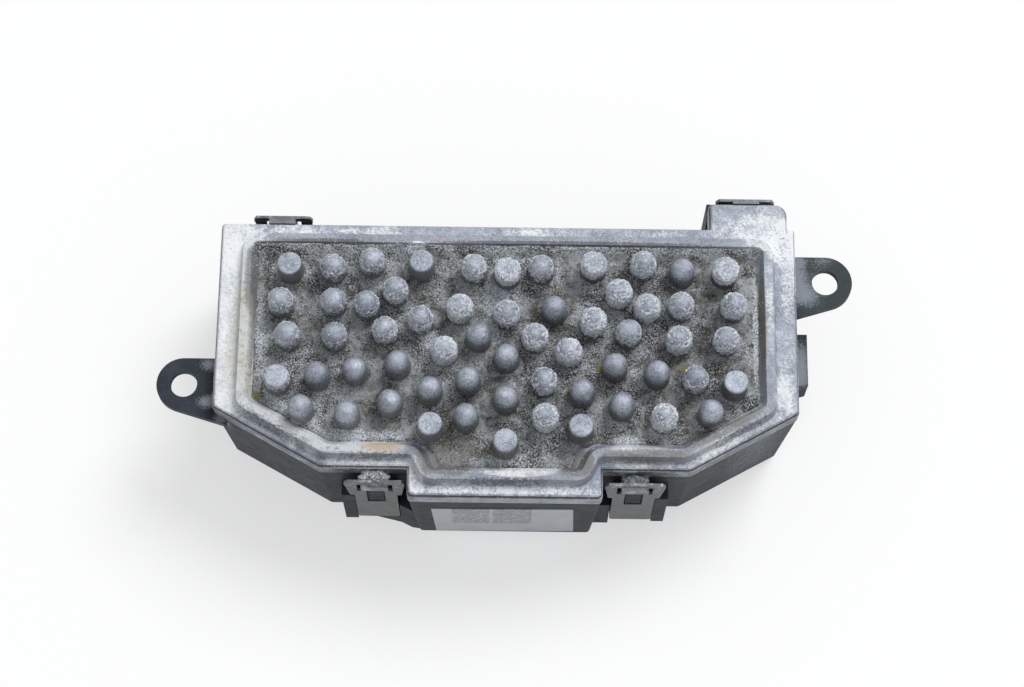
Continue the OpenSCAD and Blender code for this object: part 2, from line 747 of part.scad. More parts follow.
can_y = -2;
can_z = board_under - can_diameter / 2 - 0.2;
can_x = -36;
can_gap = 2;
can_spots = [can_x, can_x + can_diameter + can_gap];
can_pitch = 5;
can_lead = 2;
choke_spot = [-10, 8];
choke_gap = 0.2;
choke_lead = 2;
choke_top = board_under - choke_gap;
choke_flange = 1.6;
choke_waist = choke_diameter / 4;
diode_spot = [-12, -16];
diode_body = [9.5, 5.3];
diode_z = board_under - diode_body[1] / 2 - 0.3;
diode_reach = 3;
shunt_spot = [20, 9.5];
shunt_size = [18, 5, 1.2];
shunt_rise = 4;
chip_spot = [-34, 3];
chip_size = [10.3, 7.5, 2.3];
chip_pitch = 1.27;

can_ends = [for (x = can_spots) for (side = [-1, 1])
    [x + side * can_pitch / 2, can_y + can_length / 2 + can_lead, can_z]];
choke_ends = [for (side = [-1, 1])
    [choke_spot[0] + side * choke_diameter * 0.4, choke_spot[1], choke_top - choke_lead]];
diode_ends = [for (side = [-1, 1])
    [diode_spot[0] + side * (diode_body[0] / 2 + diode_reach), diode_spot[1], diode_z]];
lead_spots = [for (side = [-1, 1]) for (i = [-1, 0, 1])
    [side * transistor_x + i * lead_pitch, transistor_y - transistor_size[1] / 2 - lead_reach]];

// Printed board with holes for its screws, contacts and leads
module circuit_board() {
    through = board_thick + 2 * sink;
    color([0.1, 0.35, 0.16])
    difference() {
        translate([0, 0, board_under])
            linear_extrude(board_thick)
                polygon(rounded(inset_all(body_outline, board_inset), body_radii));
        for (spot = screw_spots)
            translate([spot[0], spot[1], board_under - sink])
                cylinder(h = through, d = board_screw + 0.3);
        for (spot = concat(can_ends, choke_ends, diode_ends))
            translate([spot[0], spot[1], board_under - sink])
                cylinder(h = through, d = lead_round + 0.3, $fn = 24);
        for (spot = lead_spots)
            post(spot[0], spot[1], lead_width + 0.3, lead_thick + 0.3, board_under - sink, board_top + sink);
        for (side = [-1, 1])
            post(shunt_spot[0] + side * (shunt_size[0] - shunt_size[2]) / 2, shunt_spot[1],
                shunt_size[2] + 0.3, shunt_size[1] / 2 + 0.3, board_under - sink, board_top + sink);
        all_contacts(fit_gap);
    }
}

// Pan-head screw, head downwards, with a cross recess; its seat lies at z = 0
module pan_screw(shank, length, head, height) {
    recess = head * 0.55;
    slot = head * 0.14;
    edge = height * 0.35;
    difference() {
        rotate_extrude()
            polygon([[0, length], [shank / 2 - 0.3, length], [shank / 2, length - 0.6], [shank / 2, 0],
                [head / 2, 0], [head / 2, edge - height], [head / 2 - edge, -height], [0, -height]]);
        for (turn = [0, 90])
            rotate(turn)
                post(0, 0, recess, slot, -height - sink, -height * 0.45);
    }
}

// Four screws that hold the board to the casting's bosses
module board_screws() {
    color("gray")
    for (spot = screw_spots)
        translate([spot[0], spot[1], board_under])
            pan_screw(board_screw, screw_length, screw_head, screw_head_height);
}

// Power transistor lying on its land, legs bent down through the board
module transistor(side) {
    body = transistor_size;
    mid_z = transistor_under + body[2] / 2;
    front_y = transistor_y - body[1] / 2;
    color([0.1, 0.1, 0.11])
    union() {
        difference() {
            post(side * transistor_x, transistor_y, body[0], body[1], transistor_under, land_z - pad_thick);
            translate([side * transistor_x, transistor_y + body[1] * 0.28, transistor_under - sink])
                cylinder(h = body[2] * 0.4 + sink, d = transistor_hole);
        }
        for (i = [-1, 0, 1])
            let (x = side * transistor_x + i * lead_pitch) {
                post(x, front_y - lead_reach / 2 + sink / 2, lead_width, lead_reach + sink + lead_thick,
                    mid_z - lead_thick / 2, mid_z + lead_thick / 2);
                post(x, front_y - lead_reach, lead_width, lead_thick,
                    board_under - lead_past_board, mid_z + lead_thick / 2);
            }
    }
}
module transistor_left() { transistor(-1); }
module transistor_right() { transistor(1); }

// Insulating pad between a transistor and its land
module thermal_pad(side) {
    color([0.75, 0.7, 0.6])
    post(side * transistor_x, transistor_y, transistor_size[0] + 1, transistor_size[1] + 1,
        land_z - pad_thick, land_z);
}
module thermal_pad_left() { thermal_pad(-1); }
module thermal_pad_right() { thermal_pad(1); }

// Leaf spring that presses both transistors against the casting
module transistor_clamp() {
    color([0.6, 0.6, 0.62])
    difference() {
        post(0, transistor_y, clamp_size[0], clamp_size[1],
            transistor_under - clamp_size[2], transistor_under);
        translate([0, transistor_y, transistor_under - clamp_size[2] - sink])
            cylinder(h = clamp_size[2] + 2 * sink, d = clamp_screw_d + 0.4);
    }
}

// Screw of the leaf spring
module clamp_screw() {
    color("gray")
    translate([0, transistor_y, transistor_under - clamp_size[2]])
        pan_screw(clamp_screw_d, clamp_screw_length - 0.6, clamp_head, clamp_head_height);
}

// Round diode under the board, its wires bent up into it
module freewheel_diode() {
    color([0.12, 0.12, 0.12])
    union() {
        translate([diode_spot[0] - diode_body[0] / 2, diode_spot[1], diode_z])
            rotate([0, 90, 0])
                rotate_extrude()
                    polygon([[0, 0], [diode_body[1] / 2 - 0.4, 0], [diode_body[1] / 2, 0.4],
                        [diode_body[1] / 2, diode_body[0] - 0.4],
                        [diode_body[1] / 2 - 0.4, diode_body[0]], [0, diode_body[0]]]);
        for (end = diode_ends)
            bent_wire([diode_spot[0], diode_spot[1], diode_z], end, lead_round);
    }
}

// Bridge of resistance strip that measures the motor current
module shunt_resistor() {
    low = board_under - shunt_rise;
    color([0.65, 0.5, 0.4])
    union() {
        post(shunt_spot[0], shunt_spot[1], shunt_size[0], shunt_size[1], low, low + shunt_size[2]);
        for (side = [-1, 1]) {
            post(shunt_spot[0] + side * (shunt_size[0] - shunt_size[2]) / 2, shunt_spot[1],
                shunt_size[2], shunt_size[1], low, board_under);
            post(shunt_spot[0] + side * (shunt_size[0] - shunt_size[2]) / 2, shunt_spot[1],
                shunt_size[2], shunt_size[1] / 2, low, board_top + lead_past_board);
        }
    }
}

// Control chip on top of the board, with gull-wing legs
module control_chip() {
    leg = 1.4;
    leg_width = 0.4;
    leg_thick = 0.2;
    knee = 1;
    stand = 0.15;
    count = 6;
    edge = chip_size[1] / 2;
    color([0.08, 0.08, 0.09])
    union() {
        post(chip_spot[0], chip_spot[1], chip_size[0], chip_size[1],
            board_top + stand, board_top + stand + chip_size[2]);
        for (side = [0, 1])
            for (i = [0:count - 1])
                let (x = chip_spot[0] + (i - (count - 1) / 2) * chip_pitch - leg_width / 2)
                translate([x, chip_spot[1], board_top])
                    rotate([90, 0, 90])
                        linear_extrude(leg_width)
                            mirror([side, 0])
                                polygon([[edge - 0.2, knee], [edge - 0.2, knee + leg_thick],
                                    [edge + leg * 0.5, knee + leg_thick], [edge + leg * 0.6, leg_thick],
                                    [edge + leg, leg_thick], [edge + leg, 0],
                                    [edge + leg * 0.45, 0], [edge + leg * 0.35, knee]]);
    }
}

// Electrolytic capacitor lying under the board
module filter_capacitor(i) {
    r = can_diameter / 2;
    groove_y = can_length - 2.4;
    color([0.15, 0.16, 0.3])
    union() {
        translate([can_spots[i], can_y - can_length / 2, can_z])
            rotate([-90, 0, 0])
                rotate_extrude()
                    polygon([[0, 0], [r - 0.6, 0], [r, 0.6], [r, groove_y - 0.8], [r - 0.5, groove_y - 0.3],
                        [r - 0.5, groove_y + 0.3], [r, groove_y + 0.8], [r, can_length - 0.5],
                        [r - 0.5, can_length], [0, can_length]]);
        for (side = [0, 1])
            let (end = can_ends[2 * i + side])
            bent_wire([end[0], can_y + can_length / 2 - 1, can_z], end, lead_round);
    }
}
module filter_capacitor_left() { filter_capacitor(0); }
module filter_capacitor_right() { filter_capacitor(1); }

// Ferrite drum of the choke
module choke_core() {
    r = choke_diameter / 2;
    foot = r * 0.7;
    color([0.2, 0.2, 0.21])
    translate([choke_spot[0], choke_spot[1], choke_top - choke_height])
        rotate_extrude()
            polygon([[0, 0], [r, 0], [r, choke_flange], [choke_waist, choke_flange],
                [choke_waist, choke_height - choke_flange], [foot, choke_height - choke_flange],
                [foot, choke_height], [0, choke_height]]);
}

// Copper winding on the drum, its two ends led up into the board
module choke_winding() {
    turns = 6;
    outer = choke_diameter * 0.425;
    waist = choke_waist + 0.1;
    low = choke_flange + 0.1;
    high = choke_height - choke_flange - 0.1;
    pitch = (high - low) / turns;
    color([0.72, 0.4, 0.2])
    union() {
        translate([choke_spot[0], choke_spot[1], choke_top - choke_height])
            rotate_extrude()
                polygon(concat([[waist, high], [waist, low]],
                    [for (i = [0:turns - 1]) each [[outer - 0.3, low + i * pitch],
                        [outer, low + (i + 0.3) * pitch], [outer, low + (i + 0.7) * pitch],
                        [outer - 0.3, low + (i + 1) * pitch]]]));
        for (end = choke_ends)
            translate([end[0], end[1], choke_top - choke_height + high - 1])
                cylinder(h = blade_high - choke_top + choke_height - high + 1, d = lead_round, $fn = 16);
    }
}

module supply_blade_left() { color("gold") contact(supply_spots[0], supply_blade, blade_thick); }
module supply_blade_right() { color("gold") contact(supply_spots[1], supply_blade, blade_thick); }
module motor_blade_left() { color("gold") contact(motor_spots[0], motor_blade, blade_thick); }
module motor_blade_right() { color("gold") contact(motor_spots[1], motor_blade, blade_thick); }
module signal_pin_left() { color("gold") contact(signal_spots[0], signal_width, signal_thick); }
module signal_pin_middle() { color("gold") contact(signal_spots[1], signal_width, signal_thick); }
module signal_pin_right() { color("gold") contact(signal_spots[2], signal_width, signal_thick); }

// Plain sticker on the front wall of the bay, leaning with the wall and set on a little askew
module label() {
    thick = 0.15;
    stand = 0.02;
    top_gap = 5;
    shift = -0.2;
    askew = 1.5;
    slope = atan(draft_run / housing_depth);
    color([0.72, 0.72, 0.72])
    translate([shift, bay_front + rim_inset, 0])
        rotate([slope, 0, 0])
            translate([0, -thick - stand, -top_gap - label_height / 2])
                rotate([0, -askew, 0])
                    translate([-label_width / 2, 0, -label_height / 2])
                        cube([label_width, thick, label_height]);
}

heatsink();
housing();
seal();
clip_front_left();
clip_front_right();
clip_back_left();
clip_back_right();
circuit_board();
board_screws();
transistor_left();
transistor_right();
thermal_pad_left();
thermal_pad_right();
transistor_clamp();
clamp_screw();
freewheel_diode();
shunt_resistor();
control_chip();
filter_capacitor_left();
filter_capacitor_right();
choke_core();
choke_winding();
supply_blade_left();
supply_blade_right();
motor_blade_left();
motor_blade_right();
signal_pin_left();
signal_pin_middle();
signal_pin_right();
label();
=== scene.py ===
# Regulator of a car's interior blower, as it comes out of a damp heater box: a die-cast
# plate with cooling pins, white with corrosion and caked with dirt, held by four spring
# clips on a black moulded housing with two screw ears.
# Metres; +Z is the pin side, +X the right and +Y the back, where the tab stands out.
import math
import random
import bpy
from mathutils import Matrix, Vector


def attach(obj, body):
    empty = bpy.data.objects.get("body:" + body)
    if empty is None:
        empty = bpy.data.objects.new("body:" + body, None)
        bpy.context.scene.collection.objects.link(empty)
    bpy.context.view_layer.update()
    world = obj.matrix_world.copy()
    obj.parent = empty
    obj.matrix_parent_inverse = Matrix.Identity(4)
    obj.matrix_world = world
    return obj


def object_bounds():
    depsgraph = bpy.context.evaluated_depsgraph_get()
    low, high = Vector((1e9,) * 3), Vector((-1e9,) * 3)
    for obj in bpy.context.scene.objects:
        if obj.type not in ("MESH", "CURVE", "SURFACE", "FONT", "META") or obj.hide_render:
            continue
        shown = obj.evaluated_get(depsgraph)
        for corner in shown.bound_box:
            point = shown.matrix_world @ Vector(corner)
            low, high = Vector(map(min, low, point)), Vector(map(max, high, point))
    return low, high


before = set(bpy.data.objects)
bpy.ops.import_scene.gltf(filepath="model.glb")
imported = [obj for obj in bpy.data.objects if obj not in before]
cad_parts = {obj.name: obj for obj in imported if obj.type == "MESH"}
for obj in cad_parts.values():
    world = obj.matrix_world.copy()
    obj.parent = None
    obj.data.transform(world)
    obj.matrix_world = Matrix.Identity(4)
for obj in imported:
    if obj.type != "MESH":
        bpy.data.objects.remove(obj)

cad_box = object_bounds()
MM = 0.001


# Table
# A plain white board that the part lies on. Straight from the camera it glows a little,
# so that it reads as white, and it still takes the part's shadow.

def wire(made, kind, inputs=None, **settings):
    """Node in a finish; inputs holds plain values or the outputs of other nodes."""
    node = made.node_tree.nodes.new(kind)
    for key, value in settings.items():
        setattr(node, key, value)
    for key, value in (inputs or {}).items():
        if isinstance(value, bpy.types.NodeSocket):
            made.node_tree.links.new(value, node.inputs[key])
        else:
            node.inputs[key].default_value = value
    return node


def count(made, operation, first, second=0.0, third=0.0):
    """Sum, product or other count of one to three values."""
    return wire(made, "ShaderNodeMath", {0: first, 1: second, 2: third}, operation=operation).outputs[0]


def times(made, first, second):
    """Product of two values."""
    return count(made, "MULTIPLY", first, second)


def finish(name, colour, roughness, metallic=0.0, specular=0.5):
    """New finish with plain values on its shader, which patterns may replace later."""
    made = bpy.data.materials.new(name)
    made.use_nodes = True
    shader = made.node_tree.nodes["Principled BSDF"]
    shader.inputs["Base Color"].default_value = (*colour, 1)
    shader.inputs["Roughness"].default_value = roughness
    shader.inputs["Metallic"].default_value = metallic
    shader.inputs["Specular IOR Level"].default_value = specular
    return made, shader


def only(piece):
    """Leave one piece selected and active."""
    bpy.ops.object.select_all(action="DESELECT")
    piece.select_set(True)
    bpy.context.view_layer.objects.active = piece


def settle(piece):
    """Put a piece's place, turn and size into its mesh."""
    only(piece)
    bpy.ops.object.transform_apply(location=True, rotation=True, scale=True)


table_height = cad_box[0][2]
table_size = 8
board_white, board_shader = finish("table_board", (0.4, 0.402, 0.405), 0.7)
board_glow = 0.57
seen = wire(board_white, "ShaderNodeLightPath").outputs
straight = count(board_white, "MAXIMUM", seen["Is Camera Ray"], seen["Is Glossy Ray"])
straight = count(board_white, "MAXIMUM", straight, seen["Is Transmission Ray"])
board_shader.inputs["Emission Color"].default_value = (1, 1, 1, 1)
board_white.node_tree.links.new(times(board_white, straight, board_glow),
    board_shader.inputs["Emission Strength"])
bpy.ops.object.select_all(action="DESELECT")
bpy.ops.mesh.primitive_plane_add(size=table_size, location=(0, 0, table_height))
table = bpy.context.object
table.name = "table_board"
settle(table)
table.data.materials.append(board_white)


# Daylight
# Even light from all round, and a broad soft lamp behind the right shoulder of the part,
# which leaves the front walls dark and the pins' shadows to the lower left.

world = bpy.data.worlds.new("daylight")
bpy.context.scene.world = world
world.use_nodes = True
sky = world.node_tree.nodes["Background"]
sky.inputs["Color"].default_value = (0.97, 0.985, 1.0, 1)
sky.inputs["Strength"].default_value = 0.5
lamp_data = bpy.data.lights.new("soft_lamp", "SUN")
lamp_data.energy = 2.08
lamp_data.angle = math.radians(30)
lamp = bpy.data.objects.new("soft_lamp", lamp_data)
lamp.rotation_euler = Vector((0.5, 0.6, 1.0)).to_track_quat("Z", "Y").to_euler()
bpy.context.scene.collection.objects.link(lamp)
bpy.context.scene.view_settings.view_transform = "Standard"


# Camera
# Stands in front of the part and looks down on it at 19 degrees from straight above,
# turned a little in its own plane.

camera_tilt = math.radians(19)
camera_roll = math.radians(0.73)
camera_aim = Vector((0.99, -3.6, 4.4)) * MM
camera_distance = 453.1 * MM
camera_data = bpy.data.cameras.new("camera")
camera_data.lens = 85.67
camera = bpy.data.objects.new("camera", camera_data)
camera.matrix_world = (Matrix.Translation(camera_aim) @ Matrix.Rotation(camera_tilt, 4, "X")
    @ Matrix.Rotation(camera_roll, 4, "Z") @ Matrix.Translation((0, 0, camera_distance)))
bpy.context.scene.collection.objects.link(camera)
bpy.context.scene.camera = camera


# Housing
# One moulding in black glass-filled plastic: walls, floor, sockets, clip seats and two
# screw ears. Fine spark-eroded grain, with grey dust near the plate and on the ears.

def place(made):
    """Object coordinates of a finish."""
    return wire(made, "ShaderNodeTexCoord").outputs["Object"]


def grain(made, per_metre, detail=4.0, rough=0.55, warp=0.0):
    """Cloudy pattern, given in lumps to the metre."""
    return wire(made, "ShaderNodeTexNoise", {"Vector": place(made), "Scale": per_metre,
        "Detail": detail, "Roughness": rough, "Distortion": warp}).outputs[0]


def edge(made, value, low, high):
    """Soft step from 0 at low to 1 at high."""
    return wire(made, "ShaderNodeMapRange", {"Value": value, "From Min": low, "From Max": high},
        interpolation_type="SMOOTHSTEP").outputs[0]


def span(made, value, low, high):
    """Value from 0 to 1 led over a span of plain values."""
    return wire(made, "ShaderNodeMapRange", {"Value": value, "To Min": low, "To Max": high}).outputs[0]


def axes(made):
    """X, Y and Z of a finish's object coordinates."""
    return wire(made, "ShaderNodeSeparateXYZ", {"Vector": place(made)}).outputs


def plus(made, value, share, base):
    """A share of one value added to another."""
    return count(made, "MULTIPLY_ADD", value, share, base)


def layer(made, amount, under, over):
    """One colour laid over another by an amount."""
    mix = wire(made, "ShaderNodeMix", data_type="RGBA")
    for slot, value in ((0, amount), (6, under), (7, over)):
        if isinstance(value, bpy.types.NodeSocket):
            made.node_tree.links.new(value, mix.inputs[slot])
        else:
            mix.inputs[slot].default_value = value if slot == 0 else (*value, 1)
    return mix.outputs[2]


def patches(made, spots):
    """Soft oval patches: x, y, half length, half width in millimetres, amount, turn."""
    total = 0.0
    for x, y, along, across, amount, turn in spots:
        local = wire(made, "ShaderNodeMapping", {"Vector": place(made),
            "Location": (x * MM, y * MM, 0), "Rotation": (0, 0, math.radians(turn)),
            "Scale": (along * MM, across * MM, 1)}, vector_type="TEXTURE")
        oval = wire(made, "ShaderNodeTexGradient", {"Vector": local.outputs[0]},
            gradient_type="SPHERICAL")
        total = plus(made, oval.outputs[1], amount, total)
    return total


def relief(made, shader, steps):
    """Bumps on a finish, each with its pattern and its depth in millimetres."""
    normal = None
    for height, depth in steps:
        inputs = {"Height": height, "Distance": depth * MM, "Strength": 1.0}
        if normal:
            inputs["Normal"] = normal
        normal = wire(made, "ShaderNodeBump", inputs).outputs[0]
    made.node_tree.links.new(normal, shader.inputs["Normal"])


def connect(made, shader, **sources):
    """Lead patterns into the shader's colour, roughness or metallic socket."""
    for socket, source in sources.items():
        made.node_tree.links.new(source, shader.inputs[socket.replace("_", " ")])


def dress(surface, *nodes):
    """Give CAD pieces a finish."""
    for node in nodes:
        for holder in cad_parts[node].material_slots:
            holder.material = surface


black, black_shader = finish("black_moulding", (0.024, 0.03, 0.042), 0.5, specular=0.22)
dust_spots = [
    (-55.4, -7, 3, 2.2, 0.75, 0), (-55.4, -14.3, 3.4, 2.2, 0.8, 0), (-53.4, -11, 2, 6, 0.75, 0),
    (-52.8, -17.6, 2.6, 1.6, 0.8, 0), (54.6, 12, 2.8, 7, 0.65, 0), (58, 10, 6, 9, 0.38, 0),
    (56.5, 8, 3, 3, 0.4, 30), (60.2, 15.4, 4, 2, 0.35, 0), (55.6, 15.2, 2, 1.6, 0.3, 0),
    (-17, -30, 3, 6, 0.3, 0), (26, -30, 8, 4, 0.2, 0), (55.8, -4.5, 2.6, 9, 1.1, 0)]
edge_spots = [(48, -21.5, 14, 6, 0.6, 29)]
black_axes = axes(black)
near_plate = edge(black, black_axes["Z"], -14 * MM, -3 * MM)
settled = times(black, patches(black, dust_spots), near_plate)
settled = count(black, "ADD", settled, patches(black, edge_spots))
dust = edge(black, plus(black, grain(black, 2400, 7, 0.8), 1.5, settled), 0.95, 1.4)
plastic = layer(black, edge(black, grain(black, 110, 5, 0.6), 0.35, 0.7), (0.02, 0.026, 0.037),
    (0.041, 0.05, 0.066))
right_ear = edge(black, black_axes["X"], 53 * MM, 58 * MM)
plastic = layer(black, right_ear, plastic, (0.036, 0.049, 0.05))
fibres = edge(black, grain(black, 3300, 3, 0.6), 0.56, 0.72)
plastic = layer(black, times(black, fibres, 0.4), plastic, (0.17, 0.185, 0.21))
connect(black, black_shader, Base_Color=layer(black, dust, plastic, (0.25, 0.275, 0.315)),
    Roughness=span(black, grain(black, 500, 6), 0.42, 0.7))
relief(black, black_shader, [(grain(black, 5200, 3), 0.05), (grain(black, 800, 4), 0.06)])
dress(black, "housing")


# Seal
# Bead of dark silicone rubber pressed between the plate and the rim; it only shows as a
# thin dark line, with dust that has stuck to it.

rubber, rubber_shader = finish("seal_rubber", (0.02, 0.02, 0.022), 0.8)
rubber_dust = edge(rubber, grain(rubber, 1400, 6, 0.7), 0.5, 0.75)
connect(rubber, rubber_shader,
    Base_Color=layer(rubber, rubber_dust, (0.02, 0.02, 0.022), (0.12, 0.12, 0.11)))
relief(rubber, rubber_shader, [(grain(rubber, 2600, 4), 0.05)])
dress(rubber, "seal")


# Contacts
# Tin-plated brass blades and pins, pressed through the ceilings of the sockets and
# soldered into the board. The tin is dull, with fine lines from the rolling.

tin, tin_shader = finish("tinned_brass", (0.62, 0.61, 0.57), 0.35, 1.0)
drawn = wire(tin, "ShaderNodeMapping", {"Vector": place(tin), "Scale": (1.0, 1.0, 0.06)})
lines = wire(tin, "ShaderNodeTexNoise", {"Vector": drawn.outputs[0], "Scale": 6000.0,
    "Detail": 3.0}).outputs[0]
connect(tin, tin_shader,
    Base_Color=layer(tin, edge(tin, grain(tin, 500, 6), 0.45, 0.7), (0.62, 0.61, 0.57), (0.45, 0.4, 0.31)),
    Roughness=span(tin, lines, 0.28, 0.5))
relief(tin, tin_shader, [(lines, 0.01)])
dress(tin, "supply_blade_left", "supply_blade_right", "motor_blade_left", "motor_blade_right",
    "signal_pin_left", "signal_pin_middle", "signal_pin_right")


# Circuit board
# Glass-epoxy sheet with green solder mask on copper tracks; the tracks show through as
# slightly raised, lighter lines.

mask, mask_shader = finish("board_green", (0.02, 0.12, 0.05), 0.3)
tracks = wire(mask, "ShaderNodeTexBrick", {"Vector": place(mask), "Scale": 160.0, "Mortar Size": 0.06,
    "Mortar Smooth": 0.1, "Color1": (0, 0, 0, 1), "Color2": (0, 0, 0, 1), "Mortar": (1, 1, 1, 1)})
copper_tint = layer(mask, tracks.outputs["Fac"], (0.016, 0.1, 0.04), (0.05, 0.2, 0.07))
connect(mask, mask_shader, Base_Color=layer(mask, edge(mask, grain(mask, 300, 5), 0.45, 0.75),
    copper_tint, (0.03, 0.13, 0.06)))
relief(mask, mask_shader, [(tracks.outputs["Fac"], 0.03), (grain(mask, 3000, 2), 0.01)])
dress(mask, "circuit_board")


# Power transistors, diode and control chip
# Bodies pressed in black epoxy, with a fine matt grain. Their legs are part of the same
# pieces and take the same finish, because they are hidden under the plate.

epoxy, epoxy_shader = finish("black_epoxy", (0.018, 0.018, 0.019), 0.55)
connect(epoxy, epoxy_shader,
    Base_Color=layer(epoxy, edge(epoxy, grain(epoxy, 900, 6), 0.4, 0.8), (0.016, 0.016, 0.017),
        (0.045, 0.045, 0.046)),
    Roughness=span(epoxy, grain(epoxy, 2500), 0.45, 0.7))
relief(epoxy, epoxy_shader, [(grain(epoxy, 6000, 3), 0.02)])
dress(epoxy, "transistor_left", "transistor_right", "freewheel_diode", "control_chip")


# Insulating pads
# Soft silicone sheet filled with ceramic powder, cut to size and pressed flat between the
# transistors and the casting.

pad, pad_shader = finish("pad_silicone", (0.5, 0.45, 0.36), 0.75)
weave = wire(pad, "ShaderNodeTexBrick", {"Vector": place(pad), "Scale": 1200.0, "Mortar Size": 0.1,
    "Color1": (0.5, 0.45, 0.36, 1), "Color2": (0.55, 0.5, 0.41, 1), "Mortar": (0.42, 0.37, 0.3, 1)})
connect(pad, pad_shader, Base_Color=weave.outputs["Color"])
relief(pad, pad_shader, [(weave.outputs["Fac"], 0.02), (grain(pad, 2000), 0.02)])
dress(pad, "thermal_pad_left", "thermal_pad_right")


# Screws and leaf spring
# Zinc-plated screws, and a plated spring-steel strip that presses the transistors up. The
# zinc has a fine grain and small dull spots.

zinc, zinc_shader = finish("zinc_plate", (0.55, 0.56, 0.57), 0.32, 1.0)
dull_zinc = edge(zinc, grain(zinc, 700, 6), 0.5, 0.75)
connect(zinc, zinc_shader, Base_Color=layer(zinc, dull_zinc, (0.55, 0.56, 0.57), (0.38, 0.37, 0.34)),
    Roughness=span(zinc, grain(zinc, 1800), 0.25, 0.55))
relief(zinc, zinc_shader, [(grain(zinc, 4000, 3), 0.015)])
dress(zinc, "board_screws", "clamp_screw", "transistor_clamp")


# Shunt
# Strip of resistance alloy, bent like a bridge and soldered into the board. It carries
# the motor's current, and its middle is tinted by heat.

alloy, alloy_shader = finish("resistance_alloy", (0.5, 0.36, 0.25), 0.35, 1.0)
heat = patches(alloy, [(20, 9.5, 9, 9, 1.0, 0)])
connect(alloy, alloy_shader,
    Base_Color=layer(alloy, edge(alloy, heat, 0.2, 0.9), (0.5, 0.37, 0.27), (0.28, 0.2, 0.22)),
    Roughness=span(alloy, grain(alloy, 1500), 0.25, 0.5))
relief(alloy, alloy_shader, [(grain(alloy, 3500, 3), 0.01)])
dress(alloy, "shunt_resistor")


# Capacitors
# Aluminium cans in a shrunk sleeve of dark blue film; the film is glossy and follows the
# bead near the seal.

sleeve, sleeve_shader = finish("capacitor_sleeve", (0.012, 0.018, 0.06), 0.22)
connect(sleeve, sleeve_shader,
    Base_Color=layer(sleeve, edge(sleeve, grain(sleeve, 250, 3), 0.4, 0.7), (0.01, 0.015, 0.05),
        (0.02, 0.03, 0.085)),
    Roughness=span(sleeve, grain(sleeve, 900), 0.15, 0.38))
relief(sleeve, sleeve_shader, [(grain(sleeve, 450, 2), 0.04)])
dress(sleeve, "filter_capacitor_left", "filter_capacitor_right")


# Choke
# Drum pressed in grey ferrite, wound with thick enamelled copper wire whose ends go up
# into the board.

ferrite, ferrite_shader = finish("ferrite", (0.05, 0.05, 0.055), 0.6)
connect(ferrite, ferrite_shader, Base_Color=layer(ferrite, edge(ferrite, grain(ferrite, 1200, 6), 0.5, 0.8),
    (0.045, 0.045, 0.05), (0.12, 0.12, 0.125)))
relief(ferrite, ferrite_shader, [(grain(ferrite, 3000, 5), 0.04)])
dress(ferrite, "choke_core")

copper, copper_shader = finish("enamelled_copper", (0.55, 0.22, 0.09), 0.25, 1.0)
connect(copper, copper_shader, Base_Color=layer(copper, edge(copper, grain(copper, 400, 4), 0.4, 0.75),
    (0.55, 0.22, 0.09), (0.4, 0.13, 0.05)))
relief(copper, copper_shader, [(grain(copper, 2200, 3), 0.02)])
dress(copper, "choke_winding")


# Heatsink casting
# Die-cast aluminium plate with lip, pins and noses. Dull grey-blue, with white powdery
# corrosion in patches on the flange, yellow where it has aged, and dark low down
# between the pins, where the dirt begins and painted shade falls.

cast, cast_shader = finish("cast_aluminium", (0.4, 0.44, 0.52), 0.5, 0.3)
lumps = grain(cast, 420, 9, 0.72, 0.4)
fine = grain(cast, 1900, 6, 0.7)
specks = grain(cast, 4200, 4, 0.7)
mottle = plus(cast, fine, 0.5, times(cast, lumps, 0.5))
across, deep, high = axes(cast)
from_middle = count(cast, "ABSOLUTE", across)
not_pins = edge(cast, high, 6.7 * MM, 6.4 * MM)

# bare metal, clouded and full of light and dark grains
tarnish = plus(cast, grain(cast, 160, 5, 0.6), 0.4, times(cast, lumps, 0.6))
metal = layer(cast, edge(cast, tarnish, 0.38, 0.62), (0.27, 0.3, 0.37), (0.51, 0.55, 0.63))
metal = layer(cast, times(cast, not_pins, 0.1), metal, (0.2, 0.225, 0.275))
metal = layer(cast, edge(cast, specks, 0.55, 0.7), metal, (0.68, 0.72, 0.79))
metal = layer(cast, edge(cast, specks, 0.45, 0.34), metal, (0.17, 0.185, 0.22))

# the lip's outer slope in front is darker bare metal deepened by painted shade, and a painted shadow line
# runs along its back edge
slope_shade_spots = [
    (-43.3, -20.5, 14, 1.7, 0.85, -29), (-24.5, -26, 11, 1.5, 0.9, 0), (0, -30.6, 17, 1.4, 0.95, 0),
    (24.5, -26, 11, 1.4, 0.85, 0), (43.3, -20.4, 13, 1.4, 0.85, 29), (-34, 15.7, 9, 0.6, 2.4, 0),
    (12, 15.7, 32, 0.6, 2.4, 0)]
slope_shade = edge(cast, plus(cast, fine, 2.8, patches(cast, slope_shade_spots)), 1.85, 2.15)
metal = layer(cast, times(cast, slope_shade, 0.85), metal, (0.1, 0.12, 0.155))

